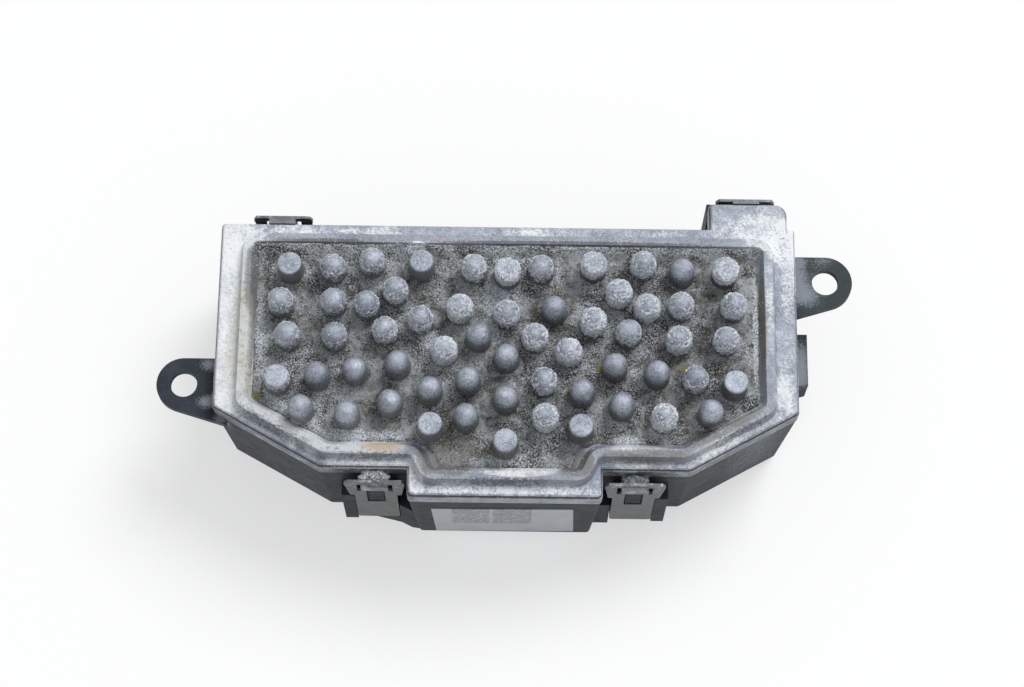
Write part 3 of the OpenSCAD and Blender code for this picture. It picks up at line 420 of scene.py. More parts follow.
# chalky corrosion on the flange and the lip, yellow where it has aged
white_spots = [
    (-51.8, 12, 15, 5, 2.2, 90), (-51.4, -2, 13, 4.8, 2.2, 90), (-50.8, -12, 9, 5, 2.2, 90),
    (-47.8, -6, 13, 2.2, 1.2, 90), (-41.6, -18.3, 14, 2.1, 2.4, -29), (-26, -24.3, 11, 1.9, 2.2, 0),
    (52.2, 17.2, 5.6, 5, 3.4, 90), (45.6, 19.4, 10, 3.6, 1.2, 0), (48.4, 22.4, 5, 3, 0.8, 0),
    (52.8, 9, 9, 2.4, 1.2, 90), (51.6, -1, 9, 2.4, 0.35, 90), (51.6, -12.5, 9, 3.2, 1.2, 90),
    (-41, 18.2, 11, 2.4, 1.1, 0), (-24, 18.2, 7, 2.2, 1.1, 0), (5, 18.4, 11, 2.2, 1.0, 0),
    (-15.5, 14.9, 2.4, 0.9, 1.5, 0), (-39, 15, 4, 0.9, 0.7, 0), (-2, 14.6, 6, 0.9, 0.7, 0),
    (30, 18.6, 10, 1.6, 0.6, 0), (-24.5, -27.4, 11, 2.2, 1.6, 0), (-16.5, -29.4, 4.4, 2.4, 1.9, 90),
    (-6, -31.8, 14, 1.9, 1.3, 0), (9, -31.8, 13, 1.9, 1.2, 0), (2.5, -28.4, 9, 1.7, 1.7, 0),
    (-41, -20.9, 14, 3, 1.0, -29), (24, -27, 9, 2.4, 0.9, 0), (40, -22.6, 14, 2.8, 1.1, 29),
    (24, -24, 8, 1.4, 1.2, 0), (41.8, -18.3, 13, 1.6, 0.9, 29), (47, 0, 20, 1.2, 0.3, 90),
    (24, -24.2, 5, 1.4, 1.8, 0), (-40, -17.6, 12, 1.5, 1.5, -29), (3, -28.2, 11, 1.8, 1.2, 0),
    (49, 4, 14, 1.6, 0.7, 90), (46.8, 15.8, 4.4, 2.2, 0.9, 0), (-46.8, 15.8, 4.4, 2.2, 0.8, 0)]
yellow_spots = [
    (-50.2, -6, 15, 4.4, 1.1, 90), (-44.6, -22.4, 15, 1.9, 1.1, -29), (-46.5, -12, 5, 3, 0.7, 90),
    (-48.6, 4, 10, 3, 0.6, 90)]
chalk = plus(cast, specks, 0.9, plus(cast, mottle, 3.2, patches(cast, white_spots)))
white = times(cast, not_pins, edge(cast, chalk, 2.3, 3.0))
aged = times(cast, edge(cast, patches(cast, yellow_spots), 0.15, 0.8), edge(cast, lumps, 0.35, 0.6))
chalky = layer(cast, edge(cast, mottle, 0.42, 0.56), (0.66, 0.695, 0.74), (0.89, 0.915, 0.94))
chalky = layer(cast, times(cast, aged, 0.8), chalky, (0.68, 0.66, 0.54))
off_slope = count(cast, "SUBTRACT", 1.0, times(cast, slope_shade, 0.8))
colour = layer(cast, times(cast, white, off_slope), metal, chalky)

# where it is thickest it is pure white
pure_spots = [
    (52.3, 17.8, 5, 4, 3.4, 90), (2.3, -28.9, 9, 1.4, 1.9, 0), (22.8, -24.3, 3.4, 1.0, 1.3, 0),
    (-39.5, -17.2, 11, 1.0, 1.2, -29), (-27.5, -23.7, 5, 0.9, 1.2, 0), (46, 21.5, 4.4, 3, 0.7, 0),
    (-24, -27.6, 6, 1.3, 0.9, 0), (-8, -31.9, 8, 1.2, 1.0, 0), (9, -31.9, 8, 1.2, 0.8, 0),
    (52.6, -14, 5, 1.6, 0.7, 90), (-51.6, 13.6, 7, 3.4, 1.3, 90), (-52.6, -2, 12, 1.8, 0.8, 90),
    (-49.6, -14, 5, 2.4, 0.7, -60), (-30, 18.6, 5, 1.2, 0.8, 0), (4, 18.8, 6, 1.2, 0.8, 0),
    (-17, 15, 2.8, 1.1, 1.8, 0)]
pure = edge(cast, plus(cast, fine, 1.6, patches(cast, pure_spots)), 1.15, 1.6)
colour = layer(cast, times(cast, pure, not_pins), colour, (0.92, 0.945, 0.975))

# old stains: dull dirt on the lip, a tan one in front, and the brown groove on the right
dull_spots = [
    (-24, -30.2, 3.4, 2.2, 1.4, 0), (24, -30.2, 3.4, 2.2, 1.4, 0), (-42.8, 21.4, 3.4, 2, 1.2, 0),
    (-47.4, 9, 9, 1.9, 1.0, 90), (-46.6, 15.4, 4, 2.4, -0.7, 0), (-13.6, -26, 4, 2.6, 1.7, 70),
    (26, -25.4, 9, 1.3, 1.2, 0), (40, -20.3, 10, 1.3, 0.9, 29), (13.6, -26, 4, 2.6, 1.7, -70),
    (-10, -28.4, 4, 1.6, 1.3, 0), (12.6, -28.4, 3, 1.5, 1.0, 0), (-28, 14.9, 9, 0.9, 0.6, 0),
    (22, 14.9, 24, 0.9, 0.6, 0), (-46.6, 10, 8, 1.6, 0.8, 90), (-46.7, -3, 12, 1.3, 0.7, 90),
    (-40, 15.2, 9, 1.2, 0.8, 0), (48.8, 3, 17, 2.4, -0.9, 90), (46.8, 15.8, 5, 2.8, -0.9, 0),
    (-17, 14.9, 3.4, 1.6, -1.2, 0)]
tan_spots = [(-22.4, -24.3, 6.5, 1.9, 1.3, 0), (-47, -15.5, 3, 1.6, 0.4, 60)]
groove_spots = [(47.5, 1, 17, 1.1, 1.6, 90)]
lip = times(cast, not_pins, edge(cast, high, 4.6 * MM, 5 * MM))
grime = plus(cast, mottle, 2.4, plus(cast, lip, 0.4, patches(cast, dull_spots)))
colour = layer(cast, times(cast, edge(cast, grime, 1.4, 2.0), 0.75), colour, (0.18, 0.175, 0.16))
tan = edge(cast, patches(cast, tan_spots), 0.2, 1.0)
colour = layer(cast, times(cast, tan, 0.85), colour, (0.55, 0.42, 0.28))
groove = edge(cast, patches(cast, groove_spots), 0.3, 1.0)
colour = layer(cast, times(cast, groove, 0.85), colour, (0.17, 0.155, 0.115))

# the plate's side: a painted shadow line where it steps back, and chalk on the edge below
step_shadow = times(cast, edge(cast, high, 3.4 * MM, 3.55 * MM), edge(cast, high, 4.2 * MM, 4 * MM))
below = edge(cast, high, 3.45 * MM, 3.3 * MM)
beside_bay = edge(cast, from_middle, 14 * MM, 18 * MM)
colour = layer(cast, times(cast, below, beside_bay), colour, (0.17, 0.18, 0.2))
colour = layer(cast, times(cast, below, edge(cast, lumps, 0.45, 0.62)), colour, (0.46, 0.49, 0.54))
colour = layer(cast, times(cast, step_shadow, 0.85), colour, (0.05, 0.055, 0.065))

# the pin field, bounded by the lip's foot, its cut corners and the bay, in millimetres
bed_half_width = 46.8
bed_front = -27.6
bed_back = 14.3
bay_half_width = 14.0
bay_back = -23.0
bay_lean = 0.45
cut_across = 0.485
cut_deep = 0.8745
cut_reach = 35.8037
bay = times(cast, edge(cast, from_middle, (bay_half_width - 0.5) * MM, (bay_half_width - 2) * MM),
    edge(cast, deep, (bed_front - 0.4) * MM, (bed_front + 0.4) * MM))
cut = plus(cast, from_middle, cut_across, times(cast, deep, -cut_deep))
field = count(cast, "MAXIMUM", bay, edge(cast, deep, (bay_back - 0.1) * MM, (bay_back + 0.4) * MM))
field = times(cast, field, edge(cast, cut, (cut_reach + 0.4) * MM, (cut_reach - 0.2) * MM))
field = times(cast, field,
    edge(cast, from_middle, (bed_half_width - 0.1) * MM, (bed_half_width - 0.6) * MM))
field = times(cast, field, edge(cast, deep, (bed_back - 0.1) * MM, (bed_back - 0.6) * MM))
field = count(cast, "MAXIMUM", field, count(cast, "SUBTRACT", 1.0, not_pins))

# the pins: light on top, darkened by dirt and painted shade where they go down, and dusty on the left
# x, y, 1 for a flat head, crust on the left and on the right one of each pair
pins = [
    (40.5, 9.6, 1, 0, 0.9), (32.5, 9.6, 0, 0.3, 0), (25.25, 10.9, 0, 0.35, 0.6),
    (16, 10.4, 1, 0, 0.7), (6.25, 9.9, 0, 0.5, 0.3), (0, 8.9, 1, 0, 0.8), (20.75, 5.2, 0, 0.4, 1.0),
    (42, 2.9, 0, 0.3, 0.6), (32.25, 2.9, 0, 0.2, 0.5), (26, 2.4, 0, 0.25, 0.9),
    (8.75, 1.9, 0, 1.0, 0), (0, 0.9, 0, 0, 0.6), (16, -0.4, 0, 0.4, 1.0),
    (40.5, -3.8, 0, 0.25, 0.6), (31.75, -3.8, 0, 0.2, 0.8), (22.5, -2.6, 0, 0.4, 0.3),
    (5.25, -3.6, 0, 0, 0.8), (11.5, -6.4, 0, 1.0, 0.8), (0, -7.6, 0, 0, 0), (27.75, -10.4, 0, 0, 0),
    (20, -9.1, 0, 0, 0), (42, -12.4, 1, 0.3, 0), (34.75, -11.4, 0, 0, 0.3), (7, -12.1, 0, 0, 0.4),
    (14, -14.1, 0, 0, 0), (0, -15.6, 0, 0, 0), (37.5, -17.8, 0, 0, 0), (29, -18.8, 0, 0, 0.9),
    (21.25, -16.6, 0, 0, 0), (7.25, -19.1, 0, 0, 0.8), (13.75, -21.1, 1, 0, 0), (0, -24.1, 1, 0, 0)]
pin_marks = [(x, y, flat, right) for x, y, flat, left, right in pins]
pin_marks += [(-x, y, flat, left) for x, y, flat, left, right in pins if x]
flat_spots = [(x, y, 3.2, 3.2, 1.5, 0) for x, y, flat, amount in pin_marks if flat]
# painted shade and dirt: dark below a ragged height on every shaft, and right up to the rim on the flat
# heads
ragged = plus(cast, specks, 11 * MM, plus(cast, lumps, 3 * MM, high))
below_head = edge(cast, plus(cast, specks, 1.2 * MM, high), 10.7 * MM, 10.3 * MM)
shade_below_flat = times(cast, edge(cast, patches(cast, flat_spots), 0.1, 0.3), below_head)
shade = count(cast, "MAXIMUM", edge(cast, ragged, 17.2 * MM, 15 * MM), shade_below_flat)
shaft = layer(cast, edge(cast, specks, 0.5, 0.62), (0.05, 0.05, 0.047), (0.2, 0.2, 0.198))
dusty_shaded_shaft = layer(cast, edge(cast, specks, 0.45, 0.6), (0.09, 0.09, 0.088), (0.28, 0.285, 0.29))
shaft = layer(cast, edge(cast, across, 4 * MM, -16 * MM), shaft, dusty_shaded_shaft)
colour = layer(cast, times(cast, times(cast, field, shade), 0.88), colour, shaft)

# chalk is no metal, and the shafts and the plate have lost most of their shine
shine = layer(cast, shade, (0.55, 0.55, 0.55), (0.1, 0.1, 0.1))
shine = layer(cast, not_pins, shine, (0.3, 0.3, 0.3))
connect(cast, cast_shader, Base_Color=colour, Metallic=layer(cast, white, shine, (0.0, 0.0, 0.0)),
    Roughness=span(cast, white, 0.38, 0.9))
relief(cast, cast_shader, [(lumps, 0.22), (fine, 0.18), (specks, 0.06)])
dress(cast, "heatsink")


# Crust on the pins
# Hard white corrosion grown on the heads of some pins, thickest in a ring. Each is a shell
# a hair smaller than the pin with a lumpy surface, whose lumps break through the metal.

def pick(piece, wanted):
    """Select the points of a piece that a test of their place accepts."""
    bpy.ops.mesh.select_mode(type="VERT")
    bpy.ops.mesh.select_all(action="DESELECT")
    bpy.ops.object.mode_set(mode="OBJECT")
    for point in piece.data.vertices:
        point.select = wanted(point.co)
    bpy.ops.object.mode_set(mode="EDIT")


def modify(piece, kind, **settings):
    """Add one modifier and apply it."""
    only(piece)
    bpy.ops.object.modifier_add(type=kind)
    modifier = piece.modifiers[-1]
    for key, value in settings.items():
        setattr(modifier, key, value)
    bpy.ops.object.modifier_apply(modifier=modifier.name)


def clouds(name, size, depth=3):
    """Cloudy texture that pushes a surface in and out; size in metres."""
    made = bpy.data.textures.new(name, "CLOUDS")
    made.noise_scale = size
    made.noise_depth = depth
    return made


def joined(name, parts, surface):
    """Parts made one piece, with a finish, riding on the one body."""
    bpy.ops.object.select_all(action="DESELECT")
    for part in parts:
        part.select_set(True)
    bpy.context.view_layer.objects.active = parts[0]
    bpy.ops.object.join()
    piece = bpy.context.view_layer.objects.active
    piece.name = name
    settle(piece)
    piece.data.materials.clear()
    piece.data.materials.append(surface)
    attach(piece, "root")
    return piece


def copied(pattern, location=(0, 0, 0), turn=(0, 0, 0), size=1.0):
    """Copy of a pattern with its own mesh, at a place, turn and size."""
    copy = pattern.copy()
    copy.data = pattern.data.copy()
    copy.location = location
    copy.rotation_euler = turn
    copy.scale = (size, size, size)
    bpy.context.scene.collection.objects.link(copy)
    return copy


shell_radius = 2.32
shell_depth = 2.4
hollow_radius = 0.95
hollow_depth = 0.36


def pin_shell(name, head_z, dome):
    """Blank of a crust: a ball flattened to the pin's dome, stretched down its shaft and sunk
    in the middle of its head."""
    bpy.ops.object.select_all(action="DESELECT")
    bpy.ops.mesh.primitive_uv_sphere_add(segments=40, ring_count=20, radius=shell_radius * MM)
    shell = bpy.context.object
    shell.name = name
    bpy.ops.object.mode_set(mode="EDIT")
    bpy.ops.transform.resize(value=(1, 1, dome / shell_radius))
    pick(shell, lambda co: co.z < -0.01 * MM)
    bpy.ops.transform.translate(value=(0, 0, -shell_depth * MM))
    bpy.ops.object.mode_set(mode="OBJECT")
    shell.location.z = head_z * MM
    settle(shell)
    modify(shell, "REMESH", mode="VOXEL", voxel_size=0.19 * MM)
    bpy.ops.object.mode_set(mode="EDIT")
    pick(shell, lambda co: math.hypot(co.x - 0.2 * MM, co.y + 0.1 * MM) < hollow_radius * MM)
    bpy.ops.transform.translate(value=(0, 0, -hollow_depth * MM))
    bpy.ops.object.mode_set(mode="OBJECT")
    return shell


crust_white, crust_shader = finish("white_crust", (0.6, 0.64, 0.7), 0.9, specular=0.3)
crust_tone = edge(crust_white, grain(crust_white, 2500, 6, 0.75), 0.37, 0.54)
crust_pale = edge(crust_white, grain(crust_white, 500, 4, 0.6), 0.35, 0.65)
connect(crust_white, crust_shader, Base_Color=layer(crust_white, crust_tone, (0.23, 0.255, 0.31),
    layer(crust_white, crust_pale, (0.6, 0.65, 0.73), (0.87, 0.9, 0.94))))
relief(crust_white, crust_shader, [(grain(crust_white, 3800, 5, 0.7), 0.2)])
crust_lumps = clouds("crust_lumps", 0.45 * MM)
domed_blank = pin_shell("domed_blank", head_z=8.95, dome=1.85)
flat_blank = pin_shell("flat_blank", head_z=10.05, dome=0.35)
crusts = []
for x, y, flat, amount in pin_marks:
    if amount:
        shell = copied(flat_blank if flat else domed_blank, (x * MM, y * MM, 0))
        modify(shell, "DISPLACE", texture=crust_lumps, texture_coords="GLOBAL", strength=0.7 * MM,
            mid_level=0.61 - 0.3 * amount)
        crusts.append(shell)
bpy.data.objects.remove(domed_blank)
bpy.data.objects.remove(flat_blank)
pin_crust = joined("pin_crust", crusts, crust_white)
only(pin_crust)
bpy.ops.object.shade_smooth()


# Crust over the front noses
# Where the plate meets the front clips the corrosion has grown into lumps, which hang
# from the flange over the nose and the clip's bar.

heap_y = -29.1
heap_z = 1.7
nose_crusts = []
for x, half_width, half_depth, half_height in ((-24, 3.0, 1.6, 1.5), (24, 2.6, 1.2, 1.0)):
    bpy.ops.object.select_all(action="DESELECT")
    bpy.ops.mesh.primitive_uv_sphere_add(segments=32, ring_count=16, radius=1.0)
    heap = bpy.context.object
    bpy.ops.object.mode_set(mode="EDIT")
    bpy.ops.transform.resize(value=(half_width * MM, half_depth * MM, half_height * MM))
    bpy.ops.object.mode_set(mode="OBJECT")
    heap.location = (x * MM, heap_y * MM, heap_z * MM)
    settle(heap)
    modify(heap, "REMESH", mode="VOXEL", voxel_size=0.2 * MM)
    modify(heap, "DISPLACE", texture=clouds("heap_lumps", 1.4 * MM, 4), texture_coords="GLOBAL",
        strength=1.5 * MM, mid_level=0.55)
    nose_crusts.append(heap)
grey_crust, grey_crust_shader = finish("grey_crust", (0.3, 0.32, 0.35), 0.9, specular=0.3)
grey_tone = edge(grey_crust, grain(grey_crust, 2600, 6, 0.75), 0.42, 0.62)
leftward = edge(grey_crust, axes(grey_crust)["X"], 10 * MM, -10 * MM)
connect(grey_crust, grey_crust_shader, Base_Color=layer(grey_crust, grey_tone, (0.13, 0.14, 0.155),
    layer(grey_crust, leftward, (0.36, 0.38, 0.41), (0.72, 0.75, 0.8))))
relief(grey_crust, grey_crust_shader, [(grain(grey_crust, 3800, 5, 0.7), 0.2)])
joined("nose_crust", nose_crusts, grey_crust)


# Dirt between the pins
# Dust, leaf crumbs and corrosion powder that settled inside the lip and caked in soft
# mounds, half a millimetre thick and banked up against the pins. Its rim goes a little
# way into the lip.

def within_bed(x, y, reach=0.0):
    """Whether a spot in millimetres lies inside the lip's foot, widened by reach."""
    side = abs(x)
    if side > bed_half_width + reach or not bed_front - reach < y < bed_back + reach:
        return False
    if y < bay_back - reach:
        return side < bay_half_width + (y - bay_back) * bay_lean + reach
    return side * cut_across - y * cut_deep < cut_reach + reach


bed_z = 4.4
bed_middle = -6.65
cell = 0.4
columns = 238
rows = 109
bank_height = 1.9
bank_reach = 2.2
pin_foot = 1.9
back_bank = 12.9
dirt_thickness = 0.5
rim_drop = 0.7
mound_height = 1.1
crumb_height = 0.5
bpy.ops.object.select_all(action="DESELECT")
bpy.ops.mesh.primitive_grid_add(x_subdivisions=columns, y_subdivisions=rows, size=1)
dirt = bpy.context.object
dirt.name = "dirt"
dirt.scale = (columns * cell * MM, rows * cell * MM, 1)
dirt.location = (0, bed_middle * MM, (bed_z + 0.1) * MM)
settle(dirt)
bpy.ops.object.mode_set(mode="EDIT")
pick(dirt, lambda co: not within_bed(co.x / MM, co.y / MM, 0.9))
bpy.ops.mesh.delete(type="VERT")
bpy.ops.object.mode_set(mode="OBJECT")
# the dirt lies highest against the pins and along the back
bank = dirt.vertex_groups.new(name="bank")
for point in dirt.data.vertices:
    spot_x, spot_y = point.co.x / MM, point.co.y / MM
    nearest = min(math.hypot(spot_x - mark[0], spot_y - mark[1]) for mark in pin_marks)
    at_pin = max(0.0, 1 - max(0.0, nearest - pin_foot) / bank_reach) ** 2
    bank.add([point.index], min(1, max(at_pin, (spot_y - back_bank) / 3)), "REPLACE")
modify(dirt, "DISPLACE", vertex_group="bank", direction="Z", strength=bank_height * MM, mid_level=0)
modify(dirt, "DISPLACE", texture=clouds("mounds", 4 * MM), texture_coords="LOCAL",
    direction="Z", strength=mound_height * MM, mid_level=0.35)
modify(dirt, "DISPLACE", texture=clouds("crumbs", 0.9 * MM, 4), texture_coords="LOCAL",
    direction="Z", strength=crumb_height * MM, mid_level=0.5)
bpy.ops.object.mode_set(mode="EDIT")
pick(dirt, lambda co: co.y < 13.2 * MM and not within_bed(co.x / MM, co.y / MM, 0.1))
bpy.ops.transform.translate(value=(0, 0, -rim_drop * MM))
bpy.ops.object.mode_set(mode="OBJECT")
modify(dirt, "SOLIDIFY", thickness=dirt_thickness * MM, offset=-1)
only(dirt)
bpy.ops.object.shade_smooth()

soil, soil_shader = finish("caked_dirt", (0.2, 0.2, 0.19), 0.95, specular=0.2)
soil_grit = grain(soil, 3400, 4, 0.7)
soil_fine = grain(soil, 1900, 7, 0.75)
soil_axes = axes(soil)
soil_colour = layer(soil, edge(soil, grain(soil, 260, 6, 0.65, 0.5), 0.36, 0.64), (0.08, 0.073, 0.056),
    (0.43, 0.45, 0.465))
# brown with leaf mould
brown_spots = [
    (-9, -24, 13, 6, 1.3, 0), (-34, 2, 10, 8, 0.5, 0), (8, 5, 8, 5, 0.4, 0),
    (14, -22, 7, 4, 0.8, 0), (15, -13, 9, 5, 0.8, 0), (30, -12, 8, 5, 0.7, 0),
    (24, 8, 12, 5, 0.6, 0), (38, -6, 8, 9, 0.4, 0)]
brown = edge(soil, patches(soil, brown_spots), 0.1, 1.0)
soil_colour = layer(soil, times(soil, brown, 0.5), soil_colour, (0.18, 0.158, 0.125))
# painted shadow in dark pockets of the dirt
shadow_pocket_spots = [
    (-27, 12.2, 5, 2.6, 1, 0), (-35, 11, 10, 5, 0.55, 0), (-42, 3, 5, 6, 0.5, 0),
    (29, 12.2, 7, 3, 1, 0), (-40.1, -11.2, 4, 4, 1, 0), (31.9, -17, 5, 3.4, 1, 0),
    (-19.3, -15.4, 4, 4, 1, 0), (10.7, -19.2, 4, 3.4, 1, 0), (26, -7.4, 3.4, 3, 1, 0),
    (36.4, -3.2, 3.4, 5, 1.4, 0), (38, -12.4, 4, 4, 0.9, 0), (15.1, -17.4, 4, 3, 0.8, 0),
    (-19.5, 12.6, 5, 2, 0.8, 0), (41.5, 7, 3, 3, 0.8, 0), (-44.6, 12.4, 4, 3, 0.8, 0),
    (24.6, 6.6, 3, 3, 0.7, 0)]
shadow_pockets = edge(soil, plus(soil, grain(soil, 600, 5, 0.7), 0.9, patches(soil, shadow_pocket_spots)), 0.7, 1.35)
soil_colour = layer(soil, times(soil, shadow_pockets, 0.75), soil_colour, (0.046, 0.043, 0.034))
# gritty in clouds and wherever it is heaped
clouded = edge(soil, grain(soil, 120, 4, 0.6), 0.42, 0.6)
heaped = edge(soil, soil_axes["Z"], 4.9 * MM, 5.6 * MM)
gritty = plus(soil, count(soil, "MAXIMUM", clouded, heaped), 0.7, 0.3)
light_grit = times(soil, edge(soil, soil_grit, 0.52, 0.61), gritty)
dark_grit = times(soil, edge(soil, soil_grit, 0.49, 0.38), gritty)
soil_colour = layer(soil, light_grit, soil_colour, (0.64, 0.685, 0.75))
soil_colour = layer(soil, dark_grit, soil_colour, (0.028, 0.028, 0.027))
# white where corrosion powder has fallen on it
powder_spots = [
    (-1.9, 5.2, 5, 5, 1.4, 0), (5.5, 7.9, 4, 3, 0.9, 0), (-2.6, -3, 4, 3, 0.9, 0),
    (-15, -2.5, 3, 3, 1.2, 0), (-28.7, 7.4, 4, 3, 0.8, 0), (-35, 1.5, 4, 3, 0.9, 0),
    (-17.5, 14.3, 2.6, 0.9, 2.4, 0), (22.8, -22.4, 4.4, 1.6, 1.5, 0),
    (-30.6, -13.8, 3.4, 3, 1.2, 0), (15.7, 7, 4, 2.6, 0.8, 0), (31, 0, 3, 2.4, 0.8, 0),
    (11.6, -8.8, 3.4, 2.4, 0.8, 0), (-29, -22, 5, 1.6, 1.2, 0), (-4, -0.5, 7, 5, 0.6, 0),
    (-12.4, -5.5, 5, 5, 0.9, 0), (36, 7.5, 3, 2, 0.8, 0), (46.3, 0, 17, 0.7, 1.7, 90),
    (24, -1, 6, 4, 0.6, 0), (-16, -9, 5, 4, 0.6, 0), (0, 12.8, 9, 2, 0.9, 0),
    (44.6, -6, 2.4, 12, 0.6, 0), (44, 11, 3, 4, 0.6, 0), (-1, -26.6, 12, 2.2, 0.9, 0),
    (-46, 0, 14, 2, 0.9, 90), (-42, -5, 7, 12, 0.5, 0), (30, -20, 9, 3, 0.6, 0),
    (-38, -18, 10, 2.6, 1.2, -29), (-24, -21.8, 10, 2, 1.2, 0), (4, 14.9, 40, 1.2, 0.6, 0)]
powdered = plus(soil, soil_grit, 1.6, times(soil, soil_fine, 1.4))
powdered = edge(soil, count(soil, "ADD", powdered, patches(soil, powder_spots)), 1.9, 2.5)
powder_tone = layer(soil, edge(soil, soil_grit, 0.4, 0.58), (0.26, 0.27, 0.28), (0.74, 0.79, 0.86))
soil_colour = layer(soil, powdered, soil_colour, powder_tone)
# a little moss
moss_spots = [
    (17.5, -8.6, 2.2, 1.6, 1, 0), (33.2, -8.4, 2, 1.5, 1, 20), (12.2, -7.2, 1.5, 2.2, 0.8, 0),
    (-46, -14.5, 2.5, 1.5, 0.8, -40)]
moss = edge(soil, plus(soil, soil_fine, 0.8, patches(soil, moss_spots)), 0.75, 1.1)
soil_colour = layer(soil, moss, soil_colour, (0.26, 0.25, 0.09))
# painted shade on the banks against the pins, but not along the back
bank_shade = edge(soil, plus(soil, soil_grit, 2.2 * MM, soil_axes["Z"]), 6.4 * MM, 7.5 * MM)
bank_shade = times(soil, bank_shade, edge(soil, soil_axes["Y"], 13.5 * MM, 12.5 * MM))
soil_colour = layer(soil, times(soil, bank_shade, 0.6), soil_colour, (0.03, 0.03, 0.028))
connect(soil, soil_shader, Base_Color=soil_colour)
relief(soil, soil_shader, [(soil_fine, 0.3), (soil_grit, 0.12)])
dirt.data.materials.append(soil)
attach(dirt, "root")


# Grit
# Loose crumbs on the dirt: sand, flakes of dry leaf and specks of white corrosion. One
# knobbly crumb is modelled and strewn in many sizes.

chance = random.Random(11)
bpy.ops.object.select_all(action="DESELECT")
bpy.ops.mesh.primitive_ico_sphere_add(subdivisions=1, radius=1.0)
crumb_blank = bpy.context.object
crumb_blank.name = "crumb_blank"
bpy.ops.object.mode_set(mode="EDIT")
bpy.ops.mesh.select_all(action="SELECT")
bpy.ops.transform.vertex_random(offset=0.35, seed=3)
bpy.ops.object.mode_set(mode="OBJECT")


def strewn(name, spots, surface):
    """Crumbs at spots, given as a place and a radius, as one piece."""
    crumbs = []
    for spot, radius in spots:
        turn = [chance.uniform(0, math.tau) for axis in range(3)]
        crumbs.append(copied(crumb_blank, spot, turn, radius))
        crumbs[-1].scale.z *= chance.uniform(0.5, 1)
    return joined(name, crumbs, surface)


def drop(x, y, *pieces):
    """Height of the topmost of some pieces at a spot, in millimetres; -99 beside them all."""
    highest = -99
    for piece in pieces:
        hit, spot = piece.ray_cast(Vector((x * MM, y * MM, 30 * MM)), Vector((0, 0, -1)))[:2]
        if hit:
            highest = max(highest, spot.z / MM)
    return highest


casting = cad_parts["heatsink"]
grit_number = 2600
grit_radius = (0.07 * MM, 0.18 * MM)
grit_spots = []
while len(grit_spots) < grit_number:
    x = chance.uniform(0.2 - bed_half_width, bed_half_width - 0.2)
    y = chance.uniform(bed_front + 0.2, bed_back - 0.2)
    if within_bed(x, y) and drop(x, y, casting) < bed_z + 0.01:
        grit_spots.append(((x * MM, y * MM, drop(x, y, dirt) * MM), chance.uniform(*grit_radius)))
grit_mix, grit_shader = finish("grit", (0.2, 0.2, 0.17), 0.95, specular=0.2)
grit_tone = grain(grit_mix, 900, 2, 0.5)
grit_colour = layer(grit_mix, edge(grit_mix, grit_tone, 0.42, 0.5), (0.035, 0.033, 0.027),
    (0.2, 0.195, 0.17))
grit_colour = layer(grit_mix, edge(grit_mix, grit_tone, 0.54, 0.62), grit_colour, (0.5, 0.51, 0.5))
connect(grit_mix, grit_shader, Base_Color=grit_colour)
relief(grit_mix, grit_shader, [(grain(grit_mix, 5000, 3), 0.05)])
strewn("grit", grit_spots, grit_mix)


# Corrosion powder
# Small hard crumbs of aluminium oxide that lie on the flange, the lip and the dirt,
# thickest beside the bay, over the noses of the front clips and round the crusted pins.

# x, y, half length, half width in millimetres, and the number of crumbs
powder_beds = [
    (-26, -27.6, 8, 0.8, 260), (-16.4, -29.2, 0.7, 2, 150), (-5, -31.7, 11, 0.8, 260),
    (8, -31.6, 9, 0.8, 200), (24, -27.4, 6, 0.8, 120), (-24, -28.9, 2.2, 0.9, 120),
    (24, -28.9, 2.2, 0.7, 40), (-51, -3, 1.6, 14, 160), (51.6, 8, 1.4, 9, 150),
    (46, 19.5, 6, 1.2, 130), (52, 16.5, 1.2, 2.4, 60), (-42, 18, 7, 0.9, 70), (4, 18.4, 8, 0.8, 60),
    (-41, -20.4, 3.4, 2.2, 110), (-34, -24, 3.4, 2, 90), (-47.6, -14, 1.6, 4, 60),
    (40, -20.6, 3.4, 2.2, 80), (34, -24, 3.4, 2, 60), (-8, -29, 5, 1.4, 80), (8, -29, 6, 1.4, 80),
    (-47, 12, 1.4, 4, 80), (22, -24.6, 6, 1.2, 90), (46.6, 4, 0.6, 12, 110), (20, 15, 28, 0.7, 160),
    (-30, 15, 16, 0.7, 110), (-12.5, -5, 3, 3, 80), (-2.5, 3, 5, 5, 160), (44.6, -2, 1.2, 7, 90)]
powder_beds += [(x, y, 3.2, 3.2, int(55 * amount)) for x, y, flat, amount in pin_marks]
powder_radius = (0.05 * MM, 0.17 * MM)
flange_foot = -1.5
powder_crumbs = []
for x, y, along, across_bed, number in powder_beds:
    for crumb in range(number):
        spot_x = chance.gauss(x, along * 0.6)
        spot_y = chance.gauss(y, across_bed * 0.6)
        spot_z = drop(spot_x, spot_y, casting, dirt)
        if spot_z > flange_foot:
            spot = (spot_x * MM, spot_y * MM, spot_z * MM)
            powder_crumbs.append((spot, chance.uniform(*powder_radius)))
strewn("corrosion_powder", powder_crumbs, crust_white)
bpy.data.objects.remove(crumb_blank)


# Straws
# Two bits of dry grass that blew in with the dust. Each is a thin stalk, bent a little,
# that lies on the dirt.

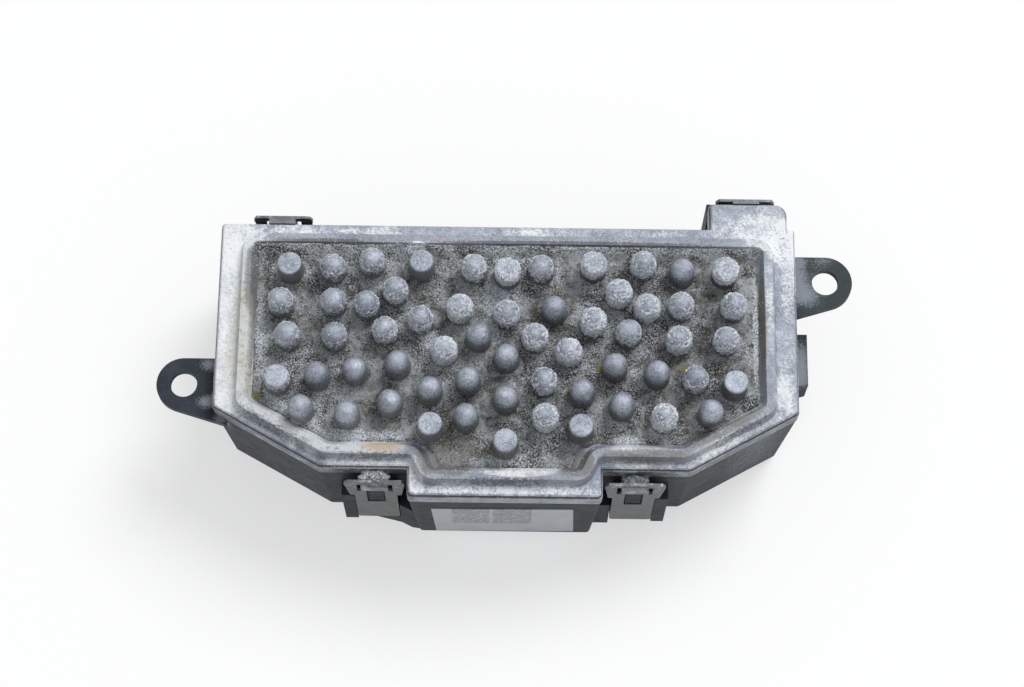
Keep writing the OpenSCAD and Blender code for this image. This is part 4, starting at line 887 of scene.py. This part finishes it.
straw_yellow, straw_shader = finish("dry_straw", (0.55, 0.54, 0.4), 0.7)
connect(straw_yellow, straw_shader, Base_Color=layer(straw_yellow, grain(straw_yellow, 1500, 4),
    (0.5, 0.48, 0.33), (0.72, 0.72, 0.6)))
straw_radius = 0.07
straw_lift = 0.15
straws = []
for x, y, turn, length in ((17.2, 8.6, 68, 2.6), (1.9, -16.4, 110, 2.4)):
    bpy.ops.object.select_all(action="DESELECT")
    bpy.ops.mesh.primitive_cylinder_add(vertices=6, radius=straw_radius * MM, depth=length * MM)
    straw = bpy.context.object
    bpy.ops.object.mode_set(mode="EDIT")
    bpy.ops.mesh.select_all(action="SELECT")
    bpy.ops.mesh.subdivide(number_cuts=3)
    bpy.ops.object.mode_set(mode="OBJECT")
    modify(straw, "SIMPLE_DEFORM", deform_method="BEND", deform_axis="X", angle=math.radians(30))
    straw.rotation_euler = (math.radians(90), 0, math.radians(turn - 90))
    straw.location = (x * MM, y * MM, (drop(x, y, dirt) + straw_lift) * MM)
    straws.append(straw)
joined("straws", straws, straw_yellow)


# Clips
# Stamped from half-millimetre spring steel and zinc plated. They hook over the noses of
# the casting; the plating is dull and dusty, with pale powder near the bar.

sheet, sheet_shader = finish("clip_zinc", (0.14, 0.15, 0.15), 0.5, 0.5)
clip_dust = edge(sheet, grain(sheet, 600, 8, 0.7), 0.42, 0.72)
clip_base = layer(sheet, clip_dust, (0.12, 0.132, 0.132), (0.24, 0.252, 0.245))
near_bar = times(sheet, edge(sheet, axes(sheet)["Z"], -4 * MM, 2 * MM),
    edge(sheet, grain(sheet, 900, 6), 0.5, 0.68))
clip_tone = layer(sheet, times(sheet, near_bar, 0.6), clip_base, (0.5, 0.52, 0.53))
connect(sheet, sheet_shader, Base_Color=clip_tone, Roughness=span(sheet, clip_dust, 0.38, 0.75))
relief(sheet, sheet_shader, [(grain(sheet, 2600, 4), 0.03), (grain(sheet, 500, 3), 0.05)])
dress(sheet, "clip_front_left", "clip_front_right", "clip_back_left", "clip_back_right")


# Label
# Plain grey film sticker on the front wall, faded and a little dusty. Two fields on it
# are worn and mottled.

film, film_shader = finish("label_film", (0.5, 0.52, 0.56), 0.45)
film_tone = layer(film, edge(film, grain(film, 260, 6, 0.6), 0.35, 0.7), (0.6, 0.635, 0.69),
    (0.68, 0.715, 0.765))
film_axes = axes(film)
faded = times(film, edge(film, film_axes["X"], -10.1 * MM, -9.8 * MM),
    edge(film, film_axes["X"], 5.2 * MM, 4.9 * MM))
faded = times(film, faded, times(film, edge(film, film_axes["Z"], -17.5 * MM, -17 * MM),
    edge(film, film_axes["Z"], -4.5 * MM, -5 * MM)))
from_gap = count(film, "ABSOLUTE", count(film, "ADD", film_axes["X"], 2.5 * MM))
faded = times(film, faded, edge(film, from_gap, 0.2 * MM, 0.4 * MM))
faded = times(film, faded, edge(film, grain(film, 1300, 3, 0.6), 0.3, 0.62))
film_tone = layer(film, times(film, faded, 0.95), film_tone, (0.3, 0.32, 0.37))
connect(film, film_shader, Base_Color=film_tone)
relief(film, film_shader, [(grain(film, 1500, 3), 0.02)])
dress(film, "label")
